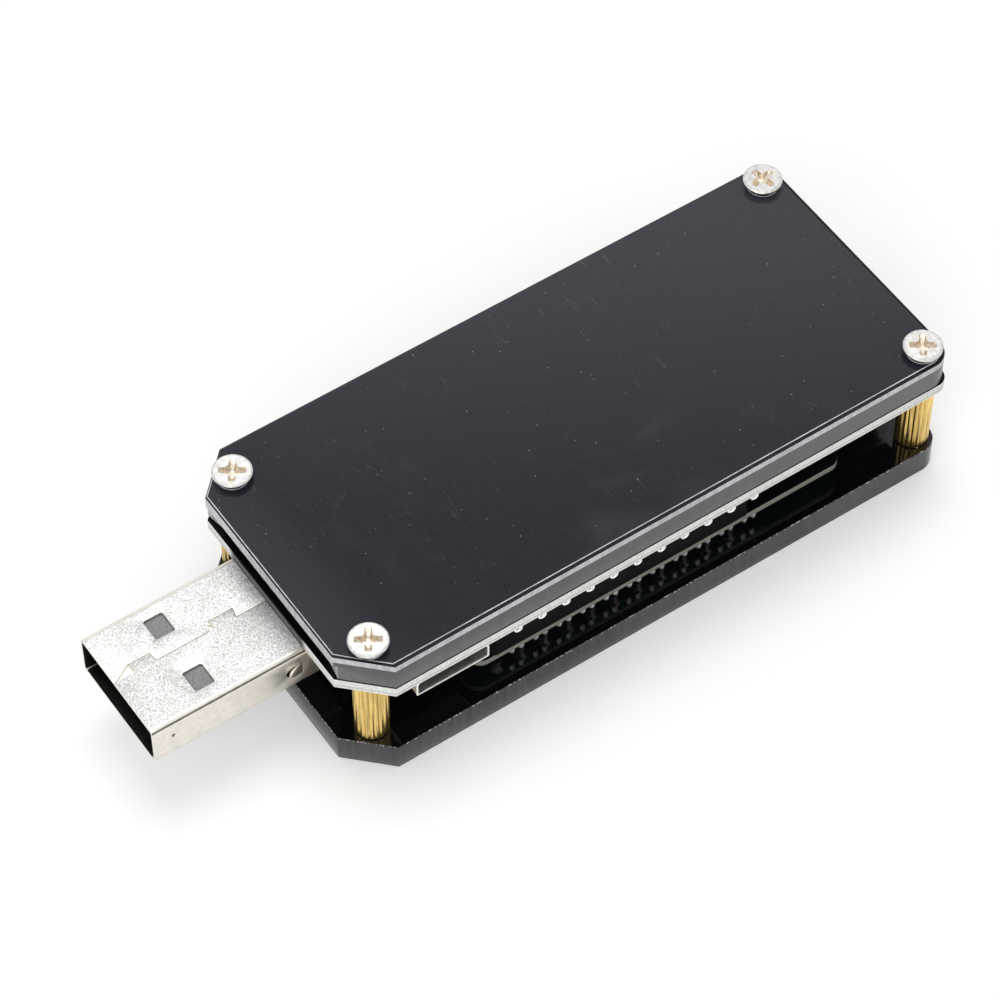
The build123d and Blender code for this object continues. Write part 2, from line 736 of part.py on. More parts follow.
# ---- tactile switches: base, snap dome and cover plate, with the button standing in each ---------
with BuildPart() as switch_bases:
    with BuildSketch(Plane.XY.offset(switch_base_bottom)):
        with Locations(*button_places):
            RectangleRounded(switch_size, switch_size, switch_corner)
    extrude(amount=switch_base_height)
    with BuildSketch(Plane.XY.offset(switch_base_bottom)):
        with Locations(*button_places):
            Circle(switch_pocket_radius)
    extrude(amount=switch_pocket_depth, mode=Mode.SUBTRACT)
finish(switch_bases, "switch_bases")

dome_base_z = switch_base_bottom + switch_pocket_depth
with BuildPart() as switch_domes:
    with Locations(*[(x, y, dome_base_z) for x, y in button_places]):
        Cone(switch_dome_radius / 2, switch_dome_radius, switch_dome_height,
             align=(Align.CENTER, Align.CENTER, Align.MAX))
        with Locations((0, 0, switch_dome_thickness)):
            Cone(switch_dome_radius / 2, switch_dome_radius, switch_dome_height,
                 align=(Align.CENTER, Align.CENTER, Align.MAX), mode=Mode.SUBTRACT)
finish(switch_domes, "switch_domes")

with BuildPart() as switch_covers:
    with BuildSketch(Plane.XY.offset(switch_cover_bottom)):
        with Locations(*button_places):
            RectangleRounded(switch_size, switch_size, switch_corner)
            Circle(button_radius + cover_hole_gap, mode=Mode.SUBTRACT)
    extrude(amount=switch_cover_thickness)
finish(switch_covers, "switch_covers")


def push_button(x, y):
    """A button: a long stem through the front plate, with a flange held behind the switch's cover."""
    flange_bottom = switch_base_bottom + button_flange_gap
    with BuildPart() as button:
        with BuildSketch(Plane.XY.offset(button_face_sink)):
            with Locations((x, y)):
                Circle(button_radius)
        extrude(amount=flange_bottom - button_face_sink)
        fillet(button.edges().group_by(Axis.Z)[0], button_edge_radius)
        with BuildSketch(Plane.XY.offset(flange_bottom)):
            with Locations((x, y)):
                Circle(button_flange_radius)
        extrude(amount=button_flange_height)
    return button


mode_button = push_button(button_x, mode_button_y)
finish(mode_button, "mode_button")

select_button = push_button(button_x, select_button_y)
finish(select_button, "select_button")

# ---- parts soldered on top of the main board, inside the spacer ----------------------------------
case_bottom = board_top + chip_gap
controller_x = plug_end_x + controller_inset
with BuildPart() as controller_chip:
    with BuildSketch(Plane.XY.offset(case_bottom)):
        with Locations((controller_x, controller_y)):
            RectangleRounded(controller_size, controller_size, chip_corner)
    extrude(amount=controller_height)
finish(controller_chip, "controller_chip")

lead_offset = (controller_size + lead_reach) / 2
with BuildPart() as controller_leads:
    with Locations((controller_x, controller_y, board_top)):
        with PolarLocations(lead_offset, 4):
            with GridLocations(0, lead_pitch, 1, lead_count):
                Box(lead_reach, lead_width, lead_thickness, align=(Align.CENTER, Align.CENTER, Align.MIN))
                with Locations((-lead_reach / 2 + lead_thickness / 2, 0, 0)):
                    Box(lead_thickness, lead_width, controller_height / 2,
                        align=(Align.CENTER, Align.CENTER, Align.MIN))
finish(controller_leads, "controller_leads")

with BuildPart() as regulator_chip:
    with BuildSketch(Plane.XY.offset(board_top)):
        with Locations((plug_end_x + regulator_inset, regulator_y)):
            Rectangle(regulator_length, regulator_width)
    extrude(amount=regulator_height)
finish(regulator_chip, "regulator_chip")

with BuildPart() as inductor:
    with BuildSketch(Plane.XY.offset(board_top)):
        with Locations((plug_end_x + inductor_inset, inductor_y)):
            RectangleRounded(inductor_size, inductor_size, inductor_corner)
    extrude(amount=inductor_height)
finish(inductor, "inductor")

with BuildPart() as shunt_resistor:
    with BuildSketch(Plane.XY.offset(board_top)):
        with Locations((plug_end_x + shunt_inset, shunt_y)):
            Rectangle(shunt_length, shunt_width)
    extrude(amount=shunt_height)
finish(shunt_resistor, "shunt_resistor")

with BuildPart() as crystal:
    with BuildSketch(Plane.XY.offset(board_top)):
        with Locations((plug_end_x + crystal_inset, crystal_y)):
            RectangleRounded(crystal_length, crystal_width, chip_corner)
    extrude(amount=crystal_height)
finish(crystal, "crystal")

with BuildPart() as capacitors:
    with BuildSketch(Plane.XY.offset(board_top)):
        with Locations((plug_end_x + capacitor_inset, capacitor_y)):
            with GridLocations(0, capacitor_spacing, 1, capacitor_rows):
                Rectangle(capacitor_length, capacitor_width)
    extrude(amount=capacitor_height)
finish(capacitors, "capacitors")
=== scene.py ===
from math import atan2, cos, hypot, pi, radians, sin

import bmesh
import bpy
from bpy.props import FloatProperty, FloatVectorProperty, IntProperty, PointerProperty
from mathutils import Matrix, Vector


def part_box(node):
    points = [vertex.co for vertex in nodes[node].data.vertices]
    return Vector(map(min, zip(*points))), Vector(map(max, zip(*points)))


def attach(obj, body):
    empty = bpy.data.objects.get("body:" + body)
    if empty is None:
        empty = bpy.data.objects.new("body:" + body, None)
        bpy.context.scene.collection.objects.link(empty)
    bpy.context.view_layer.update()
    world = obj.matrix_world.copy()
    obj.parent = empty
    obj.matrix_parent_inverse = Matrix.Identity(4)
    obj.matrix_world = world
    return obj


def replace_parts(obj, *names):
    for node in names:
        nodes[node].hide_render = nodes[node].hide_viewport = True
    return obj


bl_info = {
    "name": "USB Power Meter",
    "version": (1, 0, 0),
    "blender": (4, 5, 0),
    "location": "View3D > Sidebar > Power Meter",
    "description": "Detailed pieces, finishes and a small studio for a plug-in USB power meter",
    "category": "Object",
}

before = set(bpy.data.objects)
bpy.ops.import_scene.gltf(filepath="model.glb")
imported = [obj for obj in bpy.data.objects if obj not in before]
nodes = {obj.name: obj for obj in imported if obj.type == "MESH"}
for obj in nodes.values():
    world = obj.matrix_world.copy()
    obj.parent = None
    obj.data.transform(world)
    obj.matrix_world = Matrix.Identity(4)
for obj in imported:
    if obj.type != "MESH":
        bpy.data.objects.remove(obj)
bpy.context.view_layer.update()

MM = 0.001
ROOT_BODY = "body"


def node_box(name):
    """The corners of a CAD node's box, as two vectors in millimetres."""
    low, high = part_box(name)
    return Vector(low) / MM, Vector(high) / MM


# ---- user properties -----------------------------------------------------------------------------
def colour(name, description, default):
    return FloatVectorProperty(name=name, description=description, default=default,
                               size=3, min=0.0, max=1.0, subtype="COLOR")


def length(name, description, default, highest=20.0):
    return FloatProperty(name=name, description=description + ", in millimetres", default=default,
                         min=0.0, max=highest)


class MeterShapes(bpy.types.PropertyGroup):
    plate_arris: length("Plate arris", "Width of the broken edge round each acrylic plate", 0.10)
    film_rim: length("Film rim", "Width of the cover film's pale cut edge", 0.085)
    knurl_count: IntProperty(name="Knurl ridges", description="Ridges round a standoff",
                             default=20, min=8, max=40)
    knurl_depth: length("Knurl depth", "Depth of the grooves between the ridges", 0.12)
    standoff_chamfer: length("Standoff chamfer", "Rounding at each end of a standoff", 0.42)
    recess_width: length("Recess width", "Width of a wing of the cross recess", 0.76)
    recess_length: length("Recess length", "Length of the cross recess, tip to tip", 2.45)
    recess_depth: length("Recess depth", "Depth of the cross recess", 0.62)
    recess_turn: FloatProperty(name="Recess turn", description="How far the crosses are turned",
                               default=radians(-34.2), subtype="ANGLE")
    odd_recess_turn: FloatProperty(name="Odd recess turn",
                                   description="How far the cross of the last screw is turned",
                                   default=radians(10.8), subtype="ANGLE")
    seam_gap: length("Seam gap", "Gap of the dovetailed seam in the plug's shell", 0.035)
    window_corner: length("Window corner", "Corner radius of the plug's windows", 0.20)
    lip_flare: length("Lip flare", "How far the micro socket's mouth opens outwards", 0.03)
    bead_tube: length("Bead tube", "Thickness of the solder loops under the board's edge", 0.15)


class MeterFinishes(bpy.types.PropertyGroup):
    film: colour("Film", "Satin cover film", (0.0030, 0.0036, 0.0120))
    # The haze colour also carries the painted sheen at the film's ends.
    film_haze_and_sheen: colour("Film haze", "Cloudy handling marks on the film", (0.052, 0.052, 0.066))
    # The film's edge colour is a painted highlight along its cut edge.
    film_edge_highlight: colour("Film edge", "Cut edge of the film", (0.78, 0.80, 0.84))
    panel_edge: colour("Panel edge", "Sawn edge of the back panel", (0.47, 0.48, 0.50))
    spacer_edge: colour("Spacer edge", "Laser cut edge of the spacer", (0.076, 0.078, 0.082))
    plate: colour("Plate", "Polished black acrylic", (0.004, 0.004, 0.005))
    plate_edge: colour("Plate edge", "Laser cut edge of the front plate", (0.028, 0.028, 0.031))
    board_edge: colour("Board edge", "Cut glass fibre", (0.80, 0.81, 0.77))
    # Black lacquer, also used as painted shade on the main board and on the display board's shadowed
    # top.
    black_mask: colour("Black mask", "Lacquer on the main board", (0.006, 0.006, 0.007))
    green_mask: colour("Green mask", "Lacquer on the display board", (0.008, 0.500, 0.330))
    brass: colour("Brass", "Knurled standoffs", (0.78, 0.54, 0.18))
    nickel: colour("Nickel", "Plated steel shells", (0.76, 0.75, 0.72))
    nickel_side: colour("Nickel side", "Smooth folded sides of the plug", (0.79, 0.75, 0.67))
    screw: colour("Screw", "Plated screw heads", (0.64, 0.63, 0.61))
    recess: colour("Recess", "Bare metal in the cross recess", (0.72, 0.64, 0.53))
    plastic: colour("Plastic", "Black moulded plastic", (0.018, 0.018, 0.020))
    plug_plastic: colour("Plug plastic", "Grey black plastic in the plug", (0.20, 0.20, 0.21))


class MeterStudio(bpy.types.PropertyGroup):
    lens: FloatProperty(name="Lens", description="Focal length", default=141.0, min=10.0,
                        subtype="DISTANCE_CAMERA")
    key_power: FloatProperty(name="Key light", description="Power of the lamp overhead",
                             default=2.6, min=0.0, unit="POWER")
    fill_power: FloatProperty(name="Fill light", description="Power of the lamp on the near side",
                              default=2.6, min=0.0, unit="POWER")
    ambient: FloatProperty(name="Ambient", description="Strength of the room's even light",
                           default=0.55, min=0.0)


def shapes():
    return bpy.context.scene.meter_shapes


def finishes():
    return bpy.context.scene.meter_finishes


# ---- node helpers --------------------------------------------------------------------------------
def fill_inputs(tree, node, inputs):
    """Gives each named input its value, or links it to the socket given for it."""
    for key, value in inputs.items():
        if isinstance(value, bpy.types.NodeSocket):
            tree.links.new(value, node.inputs[key])
        else:
            node.inputs[key].default_value = value


def add_node(tree, kind, inputs=None, **settings):
    node = tree.nodes.new(kind)
    for key, value in settings.items():
        setattr(node, key, value)
    fill_inputs(tree, node, inputs or {})
    return node


def calculate(tree, operation, *values):
    return add_node(tree, "ShaderNodeMath", dict(enumerate(values)), operation=operation).outputs[0]


def remap(tree, value, low, high, to_low=0.0, to_high=1.0):
    """The value carried smoothly from low..high to to_low..to_high, and held beyond them."""
    inputs = {"Value": value, "From Min": low, "From Max": high, "To Min": to_low, "To Max": to_high}
    return add_node(tree, "ShaderNodeMapRange", inputs, interpolation_type="SMOOTHSTEP").outputs[0]


def noise(tree, vector, scale, detail=3.0, roughness=0.5, distortion=0.0):
    inputs = {"Vector": vector, "Scale": scale, "Detail": detail, "Roughness": roughness,
              "Distortion": distortion}
    return add_node(tree, "ShaderNodeTexNoise", inputs).outputs[0]


def stretched(tree, vector, scale, turn=(0.0, 0.0, 0.0)):
    inputs = {"Vector": vector, "Scale": scale, "Rotation": turn}
    return add_node(tree, "ShaderNodeMapping", inputs).outputs[0]


def blended(tree, factor, first, second):
    """A mix of two colours, each given or linked."""
    node = add_node(tree, "ShaderNodeMix", {0: factor}, data_type="RGBA")
    colours = {index: value if isinstance(value, bpy.types.NodeSocket) else (*value, 1.0)
               for index, value in ((6, first), (7, second))}
    fill_inputs(tree, node, colours)
    return node.outputs[2]


def begin_group(name, inputs, outputs):
    """A new shader group, with the sockets inside it to read from and to feed."""
    group = bpy.data.node_groups.new(name, "ShaderNodeTree")
    for label, kind, default in inputs:
        socket = group.interface.new_socket(name=label, in_out="INPUT", socket_type=kind)
        if default is not None:
            socket.default_value = default
    for label in outputs:
        group.interface.new_socket(name=label, in_out="OUTPUT", socket_type="NodeSocketFloat")
    given = group.nodes.new("NodeGroupInput").outputs
    return group, given, group.nodes.new("NodeGroupOutput").inputs


VECTOR = ("Vector", "NodeSocketVector", None)


def make_haze_group():
    """Cloudy marks left by handling: broad soft patches with a finer breakup."""
    group, given, result = begin_group(
        "Handling Haze", [VECTOR, ("Scale", "NodeSocketFloat", 60.0)], ["Haze"])
    broad = noise(group, given["Vector"], given["Scale"], 5.0, 0.6, 0.7)
    finer = calculate(group, "MULTIPLY", given["Scale"], 5.0)
    fine = noise(group, given["Vector"], finer, 4.0, 0.65, 0.4)
    patches = remap(group, broad, 0.40, 0.66)
    breakup = remap(group, fine, 0.25, 0.75, 0.45, 1.0)
    group.links.new(calculate(group, "MULTIPLY", patches, breakup), result["Haze"])
    return group


def make_scratch_group():
    """Fine straight scratches in two directions, broken up by a slow mask."""
    group, given, result = begin_group(
        "Fine Scratches",
        [VECTOR, ("Scale", "NodeSocketFloat", 900.0), ("Width", "NodeSocketFloat", 0.004)],
        ["Scratches"])
    total = None
    for turn, seed in ((0.5, 0.0), (-0.95, 0.013), (1.35, 0.029)):
        moved = add_node(group, "ShaderNodeVectorMath",
                         {0: given["Vector"], 1: (seed, seed, 0.0)}, operation="ADD").outputs[0]
        along = stretched(group, moved, (1.0, 0.10, 1.0), (0.0, 0.0, turn))
        wave = calculate(group, "SUBTRACT", noise(group, along, given["Scale"], 1.0), 0.5)
        lines = calculate(group, "ABSOLUTE", wave)
        near = calculate(group, "LESS_THAN", lines, given["Width"])
        mask = remap(group, noise(group, moved, 190.0, 2.0), 0.58, 0.68)
        part = calculate(group, "MULTIPLY", near, mask)
        total = part if total is None else calculate(group, "MAXIMUM", total, part)
    group.links.new(total, result["Scratches"])
    return group


def make_dust_group():
    """Scattered specks: one in some of the cells of a random net."""
    group, given, result = begin_group(
        "Dust Specks",
        [VECTOR, ("Scale", "NodeSocketFloat", 900.0), ("Size", "NodeSocketFloat", 0.09),
         ("Amount", "NodeSocketFloat", 0.06)],
        ["Specks"])
    cells = add_node(group, "ShaderNodeTexVoronoi",
                     {"Vector": given["Vector"], "Scale": given["Scale"]})
    apart = add_node(group, "ShaderNodeSeparateColor", {0: cells.outputs["Color"]})
    chosen = calculate(group, "LESS_THAN", apart.outputs[0], given["Amount"])
    reach = calculate(group, "MULTIPLY", given["Size"], apart.outputs[1])
    inside = calculate(group, "LESS_THAN", cells.outputs["Distance"], reach)
    group.links.new(calculate(group, "MULTIPLY", chosen, inside), result["Specks"])
    return group


def make_cut_group():
    """Upright marks left in a plate's edge by the cut, and bright chips along it."""
    group, given, result = begin_group(
        "Cut Marks",
        [VECTOR, ("Scale", "NodeSocketFloat", 2500.0)], ["Marks", "Chips"])
    upright = stretched(group, given["Vector"], (1.0, 1.0, 0.03))
    fine = noise(group, upright, given["Scale"], 3.0, 0.6)
    wide = noise(group, upright, calculate(group, "MULTIPLY", given["Scale"], 0.12), 2.0)
    marks = calculate(group, "MULTIPLY_ADD", fine, 0.6, calculate(group, "MULTIPLY", wide, 0.4))
    group.links.new(remap(group, marks, 0.36, 0.64), result["Marks"])
    finer = calculate(group, "MULTIPLY", given["Scale"], 1.6)
    chips = noise(group, given["Vector"], finer, 2.0, 0.7)
    group.links.new(remap(group, chips, 0.54, 0.60), result["Chips"])
    return group


def make_grain_group():
    """The bright and dark grain of tumbled and plated metal, and of moulded plastic."""
    group, given, result = begin_group(
        "Fine Grain", [VECTOR, ("Scale", "NodeSocketFloat", 6000.0)], ["Grain", "Blotches"])
    grain = noise(group, given["Vector"], given["Scale"], 2.0, 0.6)
    blotches = noise(group, given["Vector"], calculate(group, "MULTIPLY", given["Scale"], 0.07), 3.0)
    group.links.new(remap(group, grain, 0.30, 0.70), result["Grain"])
    group.links.new(remap(group, blotches, 0.35, 0.65), result["Blotches"])
    return group


def make_fibre_group():
    """Cut glass fibre: pale layers with darker resin between, and a grainy face."""
    group, given, result = begin_group(
        "Glass Fibre",
        [VECTOR, ("Middle", "NodeSocketFloat", 0.011), ("Scale", "NodeSocketFloat", 6500.0)],
        ["Layers", "Grit"])
    level = add_node(group, "ShaderNodeSeparateXYZ", {0: given["Vector"]}).outputs[2]
    wobble = noise(group, given["Vector"], 900.0, 2.0)
    bent = calculate(group, "MULTIPLY_ADD", wobble, 0.00012,
                     calculate(group, "SUBTRACT", level, 0.00006))
    away = calculate(group, "ABSOLUTE", calculate(group, "SUBTRACT", bent, given["Middle"]))
    group.links.new(remap(group, away, 0.00003, 0.00012), result["Layers"])
    flat = stretched(group, given["Vector"], (1.0, 1.0, 0.6))
    grit = noise(group, flat, given["Scale"], 3.0, 0.7)
    group.links.new(remap(group, grit, 0.3, 0.7), result["Grit"])
    return group


GROUP_MAKERS = {
    "Handling Haze": make_haze_group,
    "Fine Scratches": make_scratch_group,
    "Dust Specks": make_dust_group,
    "Cut Marks": make_cut_group,
    "Fine Grain": make_grain_group,
    "Glass Fibre": make_fibre_group,
}


def place_group(tree, name, **inputs):
    """A shader group placed in a material's tree, made the first time it is asked for."""
    group = bpy.data.node_groups.get(name) or GROUP_MAKERS[name]()
    node = add_node(tree, "ShaderNodeGroup", node_tree=group)
    fill_inputs(tree, node, inputs)
    return node.outputs


# ---- materials -----------------------------------------------------------------------------------
class Finish:
    """One material being wired: its tree, its object coordinates and its main shader."""

    def __init__(self, name, **fixed):
        self.material = bpy.data.materials.new(name + "_finish")
        self.material.use_nodes = True
        self.tree = self.material.node_tree
        self.shader = next(n for n in self.tree.nodes if n.type == "BSDF_PRINCIPLED")
        self.vector = add_node(self.tree, "ShaderNodeTexCoord").outputs["Object"]
        for key, value in fixed.items():
            self.shader.inputs[key.replace("_", " ")].default_value = value

    def effect(self, name, **inputs):
        """The outputs of a shared effect, laid on the material's coordinates."""
        return place_group(self.tree, name, **{"Vector": self.vector, **inputs})

    def axes(self):
        """X, Y and Z of the material's coordinates."""
        return add_node(self.tree, "ShaderNodeSeparateXYZ", {0: self.vector}).outputs

    def math(self, operation, *values):
        return calculate(self.tree, operation, *values)

    def product(self, first, second):
        return calculate(self.tree, "MULTIPLY", first, second)

    def ramp(self, value, *limits):
        return remap(self.tree, value, *limits)

    def mix(self, factor, first, second):
        return blended(self.tree, factor, first, second)

    def feed(self, socket, value):
        self.tree.links.new(value, self.shader.inputs[socket])

    def bump(self, height, distance):
        inputs = {"Height": height, "Distance": distance, "Strength": 1.0}
        self.feed("Normal", add_node(self.tree, "ShaderNodeBump", inputs).outputs[0])


def scaled(base, factor):
    return tuple(min(1.0, c * factor) for c in base)


def film_face(name):
    """Satin film with a painted sheen towards its far socket end and near the plug, hazed,
    scratched, specked.
    """
    f = Finish(name, Specular_IOR_Level=0.30)
    haze = f.effect("Handling Haze", Scale=64.0)["Haze"]
    lines = f.effect("Fine Scratches", Scale=1100.0, Width=0.004)["Scratches"]
    specks = f.effect("Dust Specks", Scale=1500.0, Size=0.09, Amount=0.42)["Specks"]
    mottle = f.effect("Fine Grain", Scale=2300.0)["Grain"]
    x, y, _ = f.axes()
    # Painted sheen: a slope that lightens the film towards its far socket end and near the plug end,
    # standing in for reflected light.
    slope = f.math("MULTIPLY_ADD", x, 0.5, y)
    plug_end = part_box("cover_film")[0].x
    painted_sheen = f.math("MAXIMUM", f.ramp(slope, -0.016, 0.034, 0.0, 0.85),
                  f.ramp(x, plug_end, plug_end + 0.008, 0.45, 0.0))
    haze_and_sheen = f.math("MAXIMUM", f.product(haze, 0.45), painted_sheen)
    sheened_haze = f.mix(haze_and_sheen, finishes().film, finishes().film_haze_and_sheen)
    sheened_haze = f.mix(f.product(mottle, 0.22), sheened_haze, (0.022, 0.022, 0.036))
    lined = f.mix(f.product(lines, 0.16), sheened_haze, (0.20, 0.20, 0.23))
    f.feed("Base Color", f.mix(specks, lined, (0.28, 0.29, 0.31)))
    f.feed("Roughness", f.ramp(haze, 0.0, 1.0, 0.07, 0.16))
    f.bump(mottle, 1.5e-6)
    return f.material


def film_rim(name):
    """Painted highlight: pale along the cut edge's near sides, and left dark along its far sides."""
    f = Finish(name, Roughness=0.35)
    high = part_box("cover_film")[1]
    marks = f.effect("Cut Marks", Scale=1500.0)["Marks"]
    cut = f.mix(f.product(marks, 0.5), finishes().film_edge_highlight, (0.16, 0.17, 0.20))
    x, y, _ = f.axes()
    # The far sides of the rim stay dark: the painted highlight runs only along the near sides.
    unlit_far_sides = f.math("MAXIMUM", f.ramp(x, high.x - 0.0014, high.x - 0.0006),
                     f.ramp(y, high.y - 0.0014, high.y - 0.0006))
    f.feed("Base Color", f.mix(unlit_far_sides, cut, (0.012, 0.012, 0.014)))
    return f.material


def acrylic(name, base, roughness, scratch_share, gloss=0.5):
    """Polished black acrylic, with a little handling haze and dust."""
    f = Finish(name, Specular_IOR_Level=gloss)
    haze = f.effect("Handling Haze", Scale=90.0)["Haze"]
    lines = f.effect("Fine Scratches", Scale=520.0, Width=0.004)["Scratches"]
    specks = f.effect("Dust Specks", Scale=620.0, Size=0.10, Amount=0.05)["Specks"]
    lined = f.mix(f.product(lines, scratch_share), base, (0.16, 0.16, 0.17))
    f.feed("Base Color", f.mix(specks, lined, (0.40, 0.40, 0.42)))
    f.feed("Roughness", f.ramp(haze, 0.0, 1.0, roughness, roughness + 0.07))
    return f.material


def cut_edge(name, dark, light, scale, roughness, depth, chip_share):
    """The upright cut edge of a plate: fine vertical marks and a few bright chips."""
    f = Finish(name, Roughness=roughness)
    cut = f.effect("Cut Marks", Scale=scale)
    grit = f.effect("Fine Grain", Scale=5200.0)["Grain"]
    marked = f.mix(cut["Marks"], dark, light)
    speckled = f.mix(f.product(grit, 0.25), marked, light)
    chips = f.product(cut["Chips"], chip_share)
    f.feed("Base Color", f.mix(chips, speckled, (0.75, 0.76, 0.78)))
    f.bump(cut["Marks"], depth)
    return f.material


def toned_edge(name, base, darkest, lightest, *rest):
    """A cut edge whose marks run between two tones of one colour."""
    return cut_edge(name, scaled(base, darkest), scaled(base, lightest), *rest)


def board_face(name, base, gloss):
    """Lacquer over a woven board, blotched a little."""
    f = Finish(name, Roughness=0.24, Specular_IOR_Level=gloss)
    grain = f.effect("Fine Grain", Scale=3200.0)
    weave = f.mix(f.product(grain["Grain"], 0.35), base, scaled(base, 0.6))
    f.feed("Base Color", f.mix(f.product(grain["Blotches"], 0.3), weave, scaled(base, 1.35)))
    f.bump(grain["Grain"], 2e-6)
    return f.material


def laminate(name, middle, base):
    """Cut glass fibre: pale grainy layers with a darker one between; gives its colour unfed."""
    f = Finish(name, Roughness=0.62)
    fibre = f.effect("Glass Fibre", Middle=middle)
    cut = f.effect("Cut Marks", Scale=2600.0)["Marks"]
    gritty = f.mix(fibre["Grit"], scaled(base, 0.84), scaled(base, 1.18))
    marked = f.mix(f.product(cut, 0.25), gritty, scaled(base, 0.76))
    f.bump(fibre["Grit"], 1.2e-5)
    return f, f.mix(fibre["Layers"], scaled(base, 0.66), marked)


def main_board_edge(name):
    """The cut edge, darkened over the plug but for a thin light line."""
    low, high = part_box("main_board")
    f, pale = laminate(name, low.z + 0.3 * (high.z - low.z), finishes().board_edge)
    plug_low, plug_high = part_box("plug_shell")
    x, y, z = f.axes()
    at_end = f.ramp(x, low.x + 0.0006, low.x + 0.0003)
    across = f.math("SUBTRACT", y, (plug_low.y + plug_high.y) / 2)
    over_plug = f.ramp(f.math("ABSOLUTE", across), 0.0064, 0.0054)
    above = f.math("SUBTRACT", z, low.z + 0.57 * (high.z - low.z))
    line = f.ramp(f.math("ABSOLUTE", above), 0.00020, 0.00007)
    # Darker over the plug, with a thin lighter line along it.
    darkened_over_plug = f.mix(line, (0.030, 0.031, 0.032), (0.17, 0.175, 0.17))
    f.feed("Base Color", f.mix(f.product(at_end, over_plug), pale, darkened_over_plug))
    return f.material


def display_board_edge(name):
    f, pale = laminate(name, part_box("display_board")[0].z, (0.22, 0.23, 0.19))
    f.feed("Base Color", pale)
    return f.material


def metal(name, base, roughness, scale, depth, contrast, streak=None, metallic=1.0):
    """Metal with fine grain, slow blotches in its gloss, and upright streaks where asked for."""
    f = Finish(name, Metallic=metallic)
    vector = stretched(f.tree, f.vector, streak) if streak else f.vector
    grain = f.effect("Fine Grain", Vector=vector, Scale=scale)
    toned = f.mix(grain["Grain"], scaled(base, 1.0 - contrast), scaled(base, 1.0 + contrast))
    f.feed("Base Color", f.mix(f.product(grain["Blotches"], 0.25), toned, scaled(base, 0.86)))
    f.feed("Roughness", f.ramp(grain["Blotches"], 0.0, 1.0, roughness, roughness + 0.08))
    f.bump(grain["Grain"], depth)
    return f.material


def plastic(name, base, roughness=0.45, scale=4200.0, depth=3e-6, lighter=1.6, gloss=0.5):
    """Moulded plastic, with a fine grain in its colour and its face."""
    f = Finish(name, Specular_IOR_Level=gloss)
    grain = f.effect("Fine Grain", Scale=scale)
    f.feed("Base Color", f.mix(grain["Grain"], base, scaled(base, lighter)))
    f.feed("Roughness", f.ramp(grain["Blotches"], 0.0, 1.0, roughness - 0.06, roughness + 0.10))
    f.bump(grain["Grain"], depth)
    return f.material


def display_cell(name):
    """Dark glass, a little lighter over its active area than in its border."""
    f = Finish(name, Coat_Weight=0.6)
    low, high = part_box("display_glass")
    border = 0.0013
    haze = f.effect("Handling Haze", Scale=120.0)["Haze"]
    fine = f.effect("Fine Grain", Scale=9000.0)["Grain"]
    axes = f.axes()
    masks = []
    for index in (0, 1):
        centre = (low[index] + high[index]) / 2
        half = (high[index] - low[index]) / 2
        away = f.math("ABSOLUTE", f.math("SUBTRACT", axes[index], centre))
        masks.append(f.math("LESS_THAN", away, half - border))
    active = f.mix(fine, (0.010, 0.014, 0.026), (0.018, 0.023, 0.040))
    f.feed("Base Color", f.mix(f.product(*masks), (0.003, 0.003, 0.004), active))
    f.feed("Roughness", f.ramp(haze, 0.0, 1.0, 0.08, 0.16))
    return f.material


def clear_window(name):
    f = Finish(name, Transmission_Weight=1.0, IOR=1.49)
    lines = f.effect("Fine Scratches", Scale=600.0, Width=0.004)["Scratches"]
    f.feed("Base Color", f.mix(lines, (0.93, 0.94, 0.95), (0.80, 0.81, 0.83)))
    f.feed("Roughness", f.ramp(lines, 0.0, 1.0, 0.03, 0.22))
    return f.material


